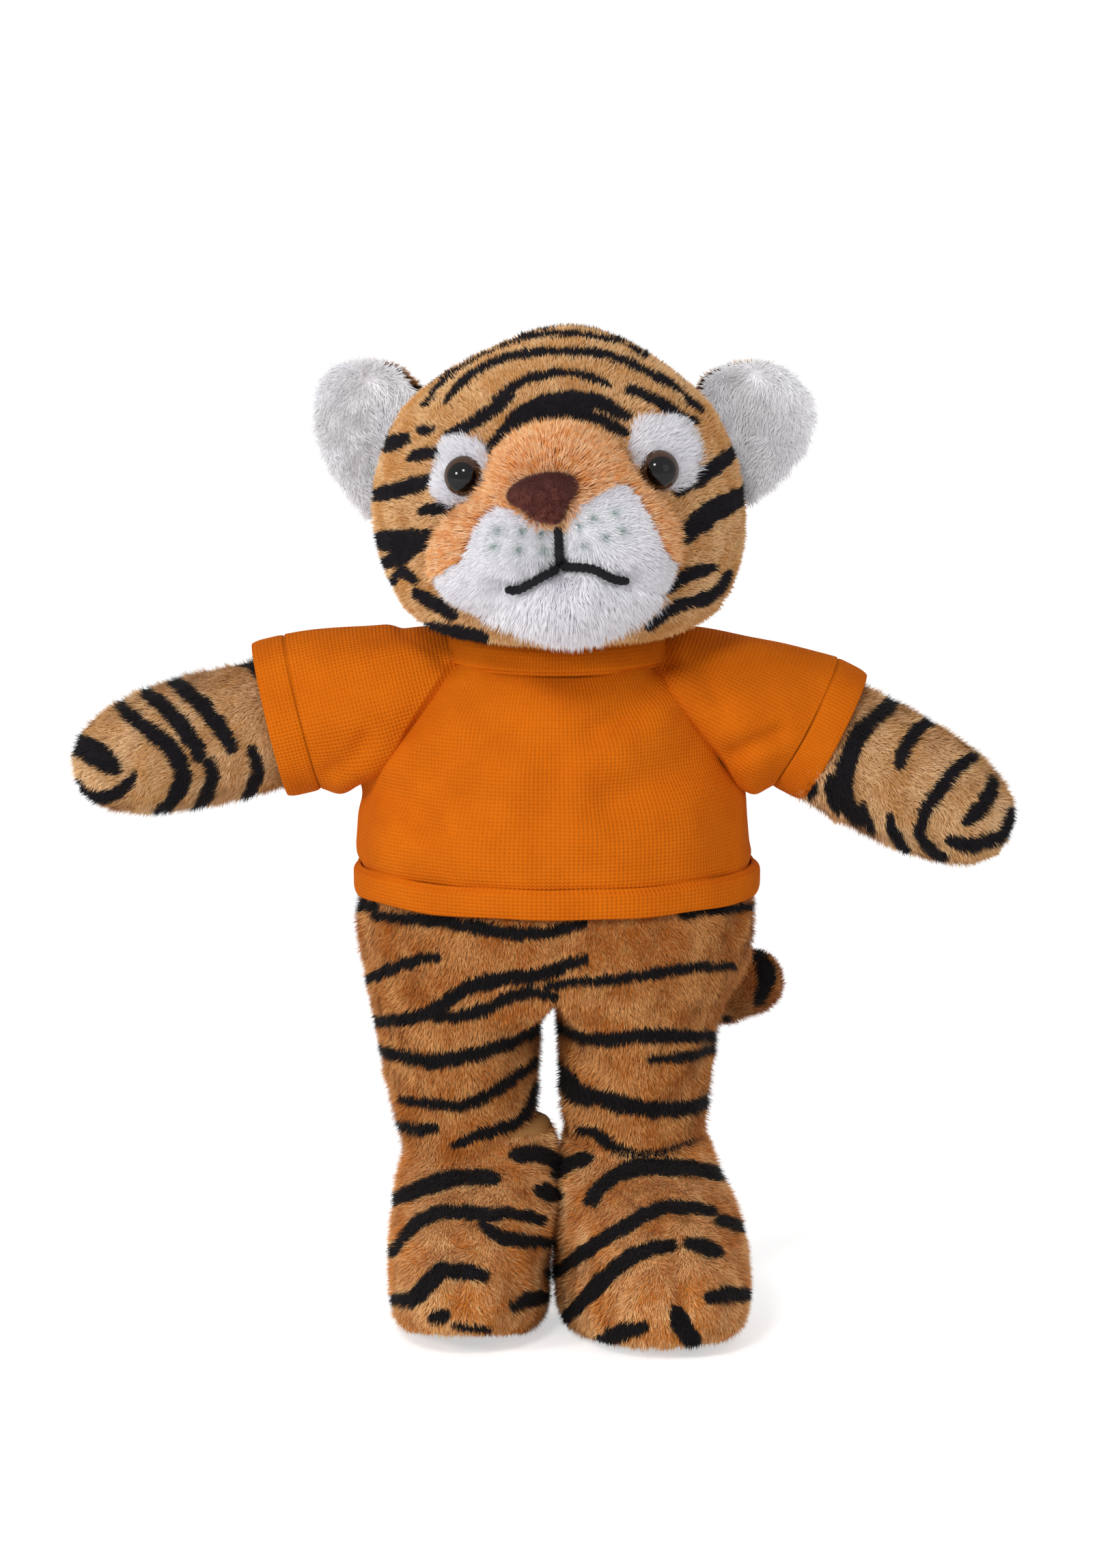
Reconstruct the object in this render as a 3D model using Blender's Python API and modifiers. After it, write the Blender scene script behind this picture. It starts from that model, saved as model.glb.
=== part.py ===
"""A standing plush tiger in a raglan T-shirt, made as it is sewn.

Every skin is a shell of pile fabric round its own stuffing. The limbs, the head, the ears and the
tail turn at rounded roots that sit in matching seats, where the real seams bend. Metres, +Z up,
the face towards -Y. "right" and "left" are the toy's own.
"""

import math

import bmesh
import bpy
from mathutils import Matrix, Vector

mm = 0.001

# Cloth and clearances
skin_wall = 2.0 * mm
seam_gap = 0.3 * mm
seat_clearance = 0.4 * mm
jersey = 1.2 * mm
band_extra = 0.5 * mm
shirt_ease = 0.6 * mm
cut_overrun = 60 * mm
merge_distance = 0.01 * mm

# Body under the shirt
crotch_height = 69 * mm
torso_height = 82 * mm
torso_top = crotch_height + torso_height
torso_half_width = 42.3 * mm
torso_depth_share = 0.68
torso_steps = 18
seat_steps = 16
torso_shares = [
    (0.33, 0.994),
    (0.55, 0.965),
    (0.78, 0.855),
    (0.86, 0.71),
    (0.934, 0.52),
    (0.976, 0.375),
    (1.0, 0.28),
    (0.98, 0.18),
    (0.875, 0.085),
    (0.60, 0.018),
    (0.0, 0.0),
]

# Head
head_lift = 1.3 * mm
head_base = torso_top + head_lift
head_height = 67.7 * mm
head_half_width = 40.5 * mm
head_depth_share = 0.89
head_middle = (1.0 * mm, -7.0 * mm)
head_seam_back = 9.0 * mm
head_steps = 20
head_shares = [
    (0.0, 1.0),
    (0.17, 0.99),
    (0.33, 0.958),
    (0.53, 0.885),
    (0.73, 0.79),
    (0.88, 0.675),
    (0.965, 0.55),
    (1.0, 0.415),
    (0.985, 0.29),
    (0.92, 0.165),
    (0.80, 0.06),
    (0.62, 0.014),
    (0.36, 0.002),
]

# Neck, a plug of stuffing through the neck seams, on which the head nods and turns
neck_radius = 13.0 * mm
neck_drop = 1.0 * mm
neck_height = torso_top - neck_drop
neck_steps = 14

# Muzzle, bulging forward from the face
muzzle_offset = 0.5 * mm
muzzle_lift = 27.7 * mm
muzzle_middle = (muzzle_offset, head_base + muzzle_lift)
muzzle_half_width = 27.0 * mm
muzzle_half_height = 23.0 * mm
muzzle_back = -24.0 * mm
muzzle_reach = 29.0 * mm
muzzle_steps = 18
muzzle_shares = [
    (0.0, 1.0),
    (0.30, 0.96),
    (0.56, 0.85),
    (0.77, 0.67),
    (0.90, 0.43),
    (1.0, 0.0),
]
cheek_shares = [
    (-1.05, -0.55),
    (-0.96, -0.35),
    (-0.72, -0.01),
    (-0.60, 0.28),
    (-0.46, 0.42),
    (0.0, 0.30),
    (0.46, 0.61),
    (0.70, 0.29),
    (0.83, -0.07),
    (0.98, -0.20),
    (0.95, -0.55),
]
chin_lift = 18.2 * mm
chin_top = head_base + chin_lift
nose_lift = 41.7 * mm
nose_height = head_base + nose_lift
nose_offset = -1.8 * mm
nose_half_width = 7.8 * mm
nose_half_height = 5.4 * mm
nose_thickness = 3.0 * mm
nose_shares = [
    (-0.05, -1.0),
    (0.35, -0.75),
    (0.85, 0.05),
    (1.0, 0.55),
    (0.8, 0.92),
    (0.1, 1.0),
    (-0.7, 0.85),
    (-1.0, 0.45),
    (-0.9, 0.0),
    (-0.45, -0.72),
]
yarn_radius = 1.0 * mm
yarn_sides = 8
yarn_end_share = 0.5
yarn_shares = {
    "philtrum": [(0.045, 0.23), (0.055, 0.06), (0.075, -0.12)],
    "mouth_right": [(0.0, -0.185), (-0.13, -0.22), (-0.27, -0.31), (-0.42, -0.39)],
    "mouth_left": [(0.15, -0.175), (0.29, -0.19), (0.43, -0.25), (0.58, -0.31)],
}

# Eyes, safety eyes with a stem through the face and a washer behind it
eye_radius = 4.5 * mm
eye_steps = 12
eye_dome = 3.6 * mm
eye_shares = [(0.0, 1.0), (0.5, 0.87), (0.87, 0.5)]
eye_foot_share = 0.93
eye_offsets = {"right": -20.0 * mm, "left": 22.4 * mm}
eye_lifts = {"right": 41.3 * mm, "left": 42.3 * mm}
eye_places = {side: (eye_offsets[side], head_base + eye_lifts[side]) for side in eye_offsets}
patch_offsets = {"right": -0.5 * mm, "left": 1.0 * mm}
patch_lifts = {"right": 1.8 * mm, "left": 3.4 * mm}
patch_places = {
    side: (x + patch_offsets[side], z + patch_lifts[side]) for side, (x, z) in eye_places.items()
}
patch_half_sizes = {"right": (6.6 * mm, 8.0 * mm), "left": (8.0 * mm, 8.4 * mm)}
patch_wall = 1.0 * mm
stem_radius = 1.4 * mm
stem_length = 7.5 * mm
washer_radius = 4.0 * mm
washer_wall = 1.2 * mm
washer_gap = 0.9 * mm
eye_clear_length = 18 * mm

# Ears, two panels each, with a rolled root in a groove along the head's side
ear_offsets = {"right": (-38.6 * mm, -30.0 * mm), "left": (40.7 * mm, 31.6 * mm)}
ear_lifts = {"right": (25.3 * mm, 52.7 * mm), "left": (26.7 * mm, 54.2 * mm)}
ear_bases = {
    side: [Vector((x, 0, head_base + lift)) for x, lift in zip(ear_offsets[side], ear_lifts[side])]
    for side in ear_offsets
}
ear_plane = 2.0 * mm
ear_reach = {"right": 21.5 * mm, "left": 24.0 * mm}
ear_root_radius = 3.0 * mm
ear_neck_wall = 1.6 * mm
ear_thickness = 2.8 * mm
ear_rim_wall = 1.0 * mm
ear_cup = 4.5 * mm
ear_columns = 6
ear_root_shares = [(-0.97, 0.2), (-0.7, 0.71), (0.0, 1.0), (0.7, 0.71)]
ear_outline_shares = [
    (0.0, 0.0, 1.0),
    (0.18, 0.03, 1.06),
    (0.42, 0.13, 1.10),
    (0.66, 0.26, 1.09),
    (0.86, 0.42, 1.01),
    (1.0, 0.62, 0.86),
]

# Arms, turned about their own length, hinged at a round root
shoulder_half_width = 37.5 * mm
shoulder_drops = {"right": 13.0 * mm, "left": 11.5 * mm}
arm_pivots = {
    "right": Vector((-shoulder_half_width, 0, torso_top - shoulder_drops["right"])),
    "left": Vector((shoulder_half_width, 0, torso_top - shoulder_drops["left"])),
}
arm_slopes = {"right": math.radians(10), "left": math.radians(26)}
arm_length = 68.3 * mm
arm_radius = 15.7 * mm
arm_root_radius = 11.5 * mm
arm_depth_share = 0.85
arm_steps = 12
arm_shares = [
    (0.0, 1.0),
    (0.42, 0.965),
    (0.74, 0.885),
    (0.93, 0.78),
    (1.0, 0.66),
    (0.97, 0.51),
    (0.86, 0.38),
    (0.71, 0.26),
    (0.655, 0.15),
]
root_height_shares = [0.3, -0.15, -0.5, -0.8]

# Sleeves and cuffs, along the arms
sleeve_length = 24.0 * mm
cuff_length = 6.5 * mm
cuff_radii = {"right": 17.4 * mm, "left": 15.8 * mm}
sleeve_depth_share = 0.88
sleeve_steps = 18
sleeve_shares = [(1.0, 1.0), (0.97, 0.5), (0.91, 0.1), (0.76, -0.24), (0.47, -0.56)]
armpit_half_width = 41.5 * mm
armpit_drop = 31.5 * mm
armpit_height = torso_top - armpit_drop
raglan_top_half_width = 18.5 * mm
raglan_drop = 4.0 * mm
raglan_top_height = torso_top - raglan_drop

# Shirt body and its bands
hem_lift = 28.0 * mm
hem_width = 6.6 * mm
hem_low = crotch_height + hem_lift
hem_high = hem_low + hem_width
neckline_share = 0.925
shirt_hollow_share = 0.97
collar_top_radius = 23.4 * mm
collar_height = 5.1 * mm

# Legs, with a round hip that turns about a cross axis
hip_lift = 4.0 * mm
hip_height = crotch_height + hip_lift
hip_radius = 24.5 * mm
leg_middles = {"right": -21.4 * mm, "left": 17.7 * mm}
leg_half_widths = {"right": 18.2 * mm, "left": 17.0 * mm}
ankle_middles = {"right": -19.3 * mm, "left": 17.6 * mm}
ankle_height = 38.3 * mm
ankle_half_width = 14.7 * mm
ankle_half_depth = 14.2 * mm
leg_steps = 14
hip_angle_shares = [0.09, 0.20, 0.32, 0.43, 0.54, 0.64]
shaft_shares = [(0.44, 0.47, 0.40), (0.72, 0.19, 0.13)]
leg_swing_forward = math.radians(60)
leg_room_shares = [1.0, 0.85]

# Feet, stuffed, each with a flat sole panel
foot_middles = {"right": -18.7 * mm, "left": 20.0 * mm}
foot_half_widths = {"right": 17.6 * mm, "left": 19.6 * mm}
foot_turns = {"right": math.radians(-5), "left": math.radians(10)}
toe_reach = 40.5 * mm
heel_reach = 17.2 * mm
foot_height = 38.0 * mm
sole_wall = 2.4 * mm
stuffing_gap = 0.9 * mm
foot_steps = 14
foot_squareness = 2.7
foot_shares = [
    (0.0, 0.87, 0.90, 0.84),
    (0.063, 0.95, 0.965, 0.95),
    (0.18, 1.0, 1.0, 1.0),
    (0.42, 0.99, 0.98, 1.0),
    (0.64, 0.93, 0.83, 0.93),
    (0.83, 0.865, 0.60, 0.88),
    (1.0, 0.80, 0.355, 0.825),
]

# Tail, curling round the left hip
tail_radius = 7.0 * mm
tail_wall = 1.6 * mm
tail_sides = 8
tail_span = 50 * mm
tail_shares = [
    (0.08, 0.69, 0.30),
    (0.16, 0.77, 0.18),
    (0.30, 0.83, 0.04),
    (0.48, 0.84, -0.05),
    (0.67, 0.79, -0.07),
    (0.82, 0.73, 0.0),
    (0.91, 0.69, 0.10),
]
tail_path = [
    Vector((across * tail_span, back * tail_span, crotch_height + rise * tail_span))
    for across, back, rise in tail_shares
]
tail_root_shares = [(-0.78, 0.62), (-0.47, 0.88)]
tail_end_shares = [(0.55, 0.84), (0.95, 0.30)]

colours = {
    "striped_plush": ((0.69, 0.35, 0.11), 0.9),
    "orange_plush": ((0.81, 0.32, 0.08), 0.9),
    "white_plush": ((0.84, 0.82, 0.86), 0.9),
    "jersey_orange": ((0.74, 0.16, 0.005), 0.85),
    "nose_velour": ((0.07, 0.01, 0.008), 0.8),
    "black_yarn": ((0.012, 0.010, 0.011), 0.85),
    "eye_plastic": ((0.05, 0.02, 0.01), 0.1),
    "washer_plastic": ((0.8, 0.8, 0.78), 0.5),
    "stuffing": ((0.85, 0.85, 0.83), 1.0),
}


def clear_scene():
    for thing in list(bpy.data.objects):
        bpy.data.objects.remove(thing)
    for group in list(bpy.data.collections):
        bpy.data.collections.remove(group)


def make_material(name):
    colour, roughness = colours[name]
    material = bpy.data.materials.new(name)
    material.use_nodes = True
    shader = material.node_tree.nodes["Principled BSDF"]
    shader.inputs["Base Color"].default_value = (*colour, 1)
    shader.inputs["Roughness"].default_value = roughness
    shader.inputs["Metallic"].default_value = 0
    return material


clear_scene()
tiger = bpy.data.collections.new("plush_tiger")
cutters = bpy.data.collections.new("cutters")
for group in (tiger, cutters):
    bpy.context.scene.collection.children.link(group)
materials = {name: make_material(name) for name in colours}
origin = bpy.data.objects.new("origin", None)
tiger.objects.link(origin)
joints = {}


def add_joint(name, place, parent=None):
    """An empty on a joint's axis, which carries the pieces that turn there."""
    empty = bpy.data.objects.new(name, None)
    tiger.objects.link(empty)
    carrier = joints[parent] if parent else origin
    empty.parent = carrier
    bpy.context.view_layer.update()
    empty.matrix_local = carrier.matrix_world.inverted() @ Matrix.Translation(place)
    joints[name] = empty
    bpy.context.view_layer.update()


def place_object(name, mesh, finish, joint, matrix=None):
    """A new object for the mesh: a piece with its finish, or a cutter where the finish is None."""
    thing = bpy.data.objects.new(name, mesh)
    if finish:
        tiger.objects.link(thing)
        mesh.materials.append(materials[finish])
    else:
        cutters.objects.link(thing)
        thing.hide_render = True
        thing.display_type = "WIRE"
    carrier = joints[joint] if joint else origin
    thing.parent = carrier
    thing.matrix_parent_inverse = carrier.matrix_world.inverted()
    thing.matrix_basis = matrix or Matrix()
    return thing


def turned(name, profile, steps, finish=None, joint=None, matrix=None, ring=False):
    """A profile of (radius, height) turned about local Z. It runs down the outer side."""
    edges = [(i, i + 1) for i in range(len(profile) - 1)]
    if ring:
        edges.append((len(profile) - 1, 0))
    mesh = bpy.data.meshes.new(name)
    mesh.from_pydata([(radius, 0, height) for radius, height in profile], edges, [])
    thing = place_object(name, mesh, finish, joint, matrix)
    screw = thing.modifiers.new("turn", "SCREW")
    screw.steps = steps
    screw.render_steps = steps
    screw.use_smooth_shade = True
    screw.use_merge_vertices = True
    screw.merge_threshold = merge_distance
    return thing


def loft(name, rings, finish=None, joint=None, loop=False):
    """Rings of equally many points joined in turn, with both ends capped, or joined as a loop."""
    count = len(rings[0])
    points = [point for ring in rings for point in ring]
    faces = []
    pairs = list(zip(range(len(rings)), range(1, len(rings))))
    if loop:
        pairs.append((len(rings) - 1, 0))
    else:
        faces.append(list(range(count))[::-1])
        faces.append([(len(rings) - 1) * count + i for i in range(count)])
    for first, second in pairs:
        for i in range(count):
            j = (i + 1) % count
            faces.append(
                (first * count + i, first * count + j, second * count + j, second * count + i)
            )
    mesh = bpy.data.meshes.new(name)
    mesh.from_pydata(points, [], faces)
    grown = bmesh.new()
    grown.from_mesh(mesh)
    bmesh.ops.recalc_face_normals(grown, faces=grown.faces)
    grown.to_mesh(mesh)
    grown.free()
    for face in mesh.polygons:
        face.use_smooth = len(face.vertices) == 4
    return place_object(name, mesh, finish, joint)


def block(name, low, high, matrix=None):
    """A box cutter between two corners."""
    shape = bmesh.new()
    size = Vector(high) - Vector(low)
    middle = (Vector(high) + Vector(low)) / 2
    into = Matrix.Translation(middle) @ Matrix.Diagonal((*size, 1))
    bmesh.ops.create_cube(shape, size=1, matrix=into)
    mesh = bpy.data.meshes.new(name)
    shape.to_mesh(mesh)
    shape.free()
    return place_object(name, mesh, None, None, matrix)


def ball(name, middle, radii, steps, finish=None, joint=None):
    """A sphere or spheroid with the given three radii. A seat's flat facets stay outside them."""
    shape = bmesh.new()
    grow = 1 if finish else 1 / math.cos(math.pi / steps) ** 2
    radii = [radius * grow for radius in radii]
    into = Matrix.Translation(middle) @ Matrix.Diagonal((*radii, 1))
    bmesh.ops.create_uvsphere(
        shape, u_segments=steps, v_segments=steps // 2, radius=1, matrix=into
    )
    mesh = bpy.data.meshes.new(name)
    shape.to_mesh(mesh)
    shape.free()
    for face in mesh.polygons:
        face.use_smooth = True
    return place_object(name, mesh, finish, joint)


def prism(name, outline, y_low, y_high, finish=None, joint=None):
    """An outline in X and Z carried along Y."""
    rings = [[Vector((x, y, z)) for x, z in outline] for y in (y_low, y_high)]
    return loft(name, rings, finish, joint)


def cut(thing, *others, keep=False):
    """Takes the others out of the thing, or with keep leaves only what lies in them."""
    for other in others:
        step = thing.modifiers.new(other.name, "BOOLEAN")
        step.operation = "INTERSECT" if keep else "DIFFERENCE"
        step.object = other


def join(thing, other):
    step = thing.modifiers.new(other.name, "BOOLEAN")
    step.operation = "UNION"
    step.object = other


def offset(profile, distance):
    """A profile moved outwards along its normals. Its points on the axis stay there."""
    moved = []
    for i, (radius, height) in enumerate(profile):
        before = Vector(profile[max(i - 1, 0)])
        after = Vector(profile[min(i + 1, len(profile) - 1)])
        along = (after - before).normalized()
        if radius == 0:
            up = 1 if i == 0 else -1
            moved.append((0, height + up * distance))
        else:
            moved.append((radius - along.y * distance, height + along.x * distance))
    return moved


def scaled(shares, width, height, base=0):
    return [(width * across, base + height * up) for across, up in shares]


def shell_open_below(profile, wall):
    """Down the outside to the opening and up the inside."""
    return profile + offset(profile, -wall)[::-1]


def shell_open_above(profile, wall):
    """Up the inside to the opening and down the outside."""
    return offset(profile, -wall)[::-1] + profile


def ellipse(middle, half_width, half_depth, count, squareness=2):
    """A level ring of points. half_depth may be a pair, towards the front and the back."""
    front, back = half_depth if isinstance(half_depth, tuple) else (half_depth, half_depth)
    ring = []
    for i in range(count):
        turn = 2 * math.pi * (i + 0.5) / count
        across = math.copysign(abs(math.cos(turn)) ** (2 / squareness), math.cos(turn))
        along = math.copysign(abs(math.sin(turn)) ** (2 / squareness), math.sin(turn))
        reach = back if along > 0 else front
        ring.append(Vector((half_width * across, reach * along, 0)) + Vector(middle))
    return ring


# Forms that other pieces are measured and cut from
torso_profile = scaled(torso_shares, torso_half_width, torso_height, crotch_height)
torso_flat = Matrix.Diagonal((1, torso_depth_share, 1, 1))
head_profile = scaled(head_shares, head_half_width, head_height, head_base)
head_place = Matrix.Translation((*head_middle, 0)) @ Matrix.Diagonal((1, head_depth_share, 1, 1))
muzzle_profile = scaled(muzzle_shares, muzzle_half_width, muzzle_reach)
muzzle_place = (
    Matrix.Translation((muzzle_middle[0], muzzle_back, muzzle_middle[1]))
    @ Matrix.Rotation(math.pi / 2, 4, "X")
    @ Matrix.Diagonal((1, muzzle_half_height / muzzle_half_width, 1, 1))
)
neck_middle = Vector((0, 0, neck_height))
tail_root = tail_path[0]

add_joint("neck_turn", neck_middle)
add_joint("neck_nod", neck_middle, "neck_turn")
for side, (low, high) in ear_bases.items():
    ear_middle = (low + high) / 2 + Vector((0, ear_plane, 0))
    add_joint("ear_fold_" + side, ear_middle, "neck_nod")
for side, pivot in arm_pivots.items():
    add_joint("arm_raise_" + side, pivot)
for side, across in leg_middles.items():
    add_joint("leg_swing_" + side, Vector((across, 0, hip_height)))
add_joint("tail_wag", tail_root)


def whole_head(name, distance):
    """The head's form as a closed solid, grown by a distance."""
    closed = head_profile + [(0, head_base)]
    return turned(name, offset(closed, distance), head_steps, joint="neck_nod", matrix=head_place)


def hip_radii(side, extra):
    return (leg_half_widths[side] + extra, hip_radius + extra, hip_radius + extra)


# Seats that more than one piece is cut by
neck_seat = ball(
    "neck_seat", neck_middle, [neck_radius + seat_clearance] * 3, seat_steps
)
hip_seats = []
arm_seats = []
for side in ("right", "left"):
    hip = Vector((leg_middles[side], 0, hip_height))
    hip_seats.append(
        ball("hip_seat_" + side, hip, hip_radii(side, seat_clearance), seat_steps)
    )
    seat_radius = arm_root_radius + seat_clearance
    arm_seats.append(
        ball(
            "arm_seat_" + side,
            arm_pivots[side],
            (seat_radius, seat_radius * arm_depth_share + seam_gap, seat_radius),
            seat_steps,
        )
    )
tail_seat = ball(
    "tail_seat", tail_root, [tail_radius + seat_clearance] * 3, seat_steps
)
seats = [neck_seat, *hip_seats, *arm_seats, tail_seat]

wide = Vector((cut_overrun * 2, cut_overrun * 2, cut_overrun * 5))
front_half = block("front_half", (-wide.x, -wide.y, -wide.z), (wide.x, seam_gap / 2, wide.z))
back_half = block("back_half", (-wide.x, -seam_gap / 2, -wide.z), (wide.x, wide.y, wide.z))
seam_y = head_middle[1] + head_seam_back
face_half = block(
    "face_half", (-wide.x, -wide.y, -wide.z), (wide.x, seam_y + seam_gap / 2, wide.z)
)
nape_half = block(
    "nape_half", (-wide.x, seam_y - seam_gap / 2, -wide.z), (wide.x, wide.y, wide.z)
)


def leg_rooms():
    """The room that each leg's front needs at the body's lower edge as it swings forward."""
    rooms = []
    for side, across in leg_middles.items():
        hip = Matrix.Translation((across, 0, hip_height))
        for share in leg_room_shares:
            turn = hip @ Matrix.Rotation(-leg_swing_forward * share, 4, "X") @ hip.inverted()
            rings = leg_rings(side, -seat_clearance, ankle_height)
            rings = [[turn @ point for point in ring] for ring in rings]
            rooms.append(loft("leg_room_" + side, rings))
    return rooms


def make_body():
    """Front and back panels of the body, open at the neck, over its stuffing."""
    rooms = leg_rooms()
    for name, other_half in (("body_front", back_half), ("body_back", front_half)):
        panel = turned(
            name,
            shell_open_above(torso_profile, skin_wall),
            torso_steps,
            "striped_plush",
            matrix=torso_flat,
        )
        cut(panel, other_half, *seats, *rooms)
    inside = offset(torso_profile, -skin_wall - seam_gap)
    top = (0, inside[0][1])
    filling = turned(
        "body_filling", [top] + inside, torso_steps // 2, "stuffing", matrix=torso_flat
    )
    cut(filling, *seats, *rooms)


def make_neck():
    ball("neck_filling", neck_middle, [neck_radius] * 3, neck_steps, "stuffing", "neck_turn")


def ear_grooves():
    """Round grooves along the ears' bases, in the head."""
    grooves = []
    for side, (low, high) in ear_bases.items():
        along = high - low
        middle = (low + high) / 2 + Vector((0, ear_plane, 0))
        half = along.length / 2 + ear_root_radius
        radius = ear_root_radius + seat_clearance
        profile = [(0, half), (radius, half), (radius, -half), (0, -half)]
        turn = along.to_track_quat("Z", "Y").to_matrix().to_4x4()
        grooves.append(
            turned(
                "ear_groove_" + side,
                profile,
                eye_steps,
                joint="neck_nod",
                matrix=Matrix.Translation(middle) @ turn,
            )
        )
    return grooves


def eye_frame(side):
    """Where the eye's stem meets the face, and a matrix whose Z points out of the face there."""
    across, height = eye_places[side]
    radius = head_half_width
    for (r1, z1), (r2, z2) in zip(head_profile, head_profile[1:]):
        if z2 <= height <= z1:
            radius = r1 + (r2 - r1) * (z1 - height) / (z1 - z2)
            slope = (r2 - r1) / (z1 - z2)
    x = across - head_middle[0]
    y = -head_depth_share * math.sqrt(radius**2 - x**2)
    out = Vector((x, y / head_depth_share**2, radius * slope)).normalized()
    point = Vector((across, y + head_middle[1], height))
    turn = out.to_track_quat("Z", "Y").to_matrix().to_4x4()
    return Matrix.Translation(point) @ turn


def rod(name, frame, radius, low, high, steps=12):
    profile = [(0, high), (radius, high), (radius, low), (0, low)]
    return turned(name, profile, steps, joint="neck_nod", matrix=frame)


def make_head():
    """Face and nape panels, meeting in the seam that holds the ears, over their stuffing."""
    grooves = ear_grooves()
    frames = {side: eye_frame(side) for side in eye_places}
    bores = [
        rod(
            "stem_bore_" + side,
            frame,
            stem_radius + seam_gap,
            -stem_length - skin_wall,
            eye_clear_length,
        )
        for side, frame in frames.items()
    ]
    pockets = [
        rod(
            "washer_pocket_" + side,
            frame,
            washer_radius + seam_gap,
            -stem_length - seam_gap * 2,
            -skin_wall - seam_gap,
            eye_steps,
        )
        for side, frame in frames.items()
    ]
    for name, other_half in (("head_front", nape_half), ("head_back", face_half)):
        panel = turned(
            name,
            shell_open_below(head_profile, skin_wall),
            head_steps,
            "striped_plush",
            "neck_nod",
            head_place,
        )
        cut(panel, other_half, neck_seat, *grooves)
        if name == "head_front":
            cut(panel, *bores)
    inside = offset(head_profile, -skin_wall - seam_gap)
    filling = turned(
        "head_filling",
        inside + [(0, inside[-1][1])],
        head_steps // 2,
        "stuffing",
        "neck_nod",
        head_place,
    )
    cut(filling, neck_seat, *grooves, *pockets)
    return frames


def make_eyes(frames, muzzle_room):
    """Domed eyes on white patches, with stems and washers."""
    skin_face = patch_wall + seam_gap * 2
    patch_out = whole_head("patch_outside", patch_wall + seam_gap)
    patch_in = whole_head("patch_inside", seam_gap)
    rooms = []
    for side, frame in frames.items():
        lift = skin_face + seam_gap * 2
        profile = scaled(eye_shares, eye_radius, eye_dome, lift)
        profile += [
            (eye_radius, lift + seam_gap),
            (eye_radius * eye_foot_share, lift),
            (stem_radius, lift),
            (stem_radius, -stem_length),
            (0, -stem_length),
        ]
        turned("eye_" + side, profile, eye_steps, "eye_plastic", "neck_nod", frame)
        bore = stem_radius + seam_gap / 2
        washer_top = -skin_wall - washer_gap
        washer = [
            (bore, washer_top),
            (washer_radius, washer_top),
            (washer_radius, washer_top - washer_wall),
            (bore, washer_top - washer_wall),
        ]
        turned(
            "eye_washer_" + side,
            washer,
            eye_steps,
            "washer_plastic",
            "neck_nod",
            frame,
            ring=True,
        )
        rooms.append(
            rod("eye_room_" + side, frame, eye_radius + seam_gap, 0, eye_clear_length)
        )
        across, height = patch_places[side]
        half_width, half_height = patch_half_sizes[side]
        turns = [2 * math.pi * i / eye_steps for i in range(eye_steps)]
        outline = [
            (across + half_width * math.cos(a), height + half_height * math.sin(a)) for a in turns
        ]
        patch = prism(
            "eye_patch_" + side, outline, -cut_overrun, 0, "white_plush", "neck_nod"
        )
        bore = rod("patch_bore_" + side, frame, stem_radius + seam_gap, 0, eye_clear_length)
        cut(patch, patch_out, keep=True)
        cut(patch, patch_in, muzzle_room, bore)
    return rooms


def muzzle_form(name, distance, finish=None):
    """The muzzle's bulge grown by a distance, turned about its own forward axis."""
    profile = offset(muzzle_profile, distance)
    closed = profile + [(0, profile[-1][1])]
    return turned(name, closed, muzzle_steps, finish, "neck_nod", muzzle_place)


def muzzle_surface(across_share, up_share):
    """The point of the muzzle's surface at a place given in shares of its half sizes."""
    away = math.hypot(across_share, up_share)
    reach = 0
    for (r1, h1), (r2, h2) in zip(muzzle_shares, muzzle_shares[1:]):
        if r1 <= away <= r2:
            reach = h1 + (h2 - h1) * (away - r1) / (r2 - r1)
    return Vector(
        (
            muzzle_middle[0] + across_share * muzzle_half_width,
            muzzle_back - reach * muzzle_reach,
            muzzle_middle[1] + up_share * muzzle_half_height,
        )
    )


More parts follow.
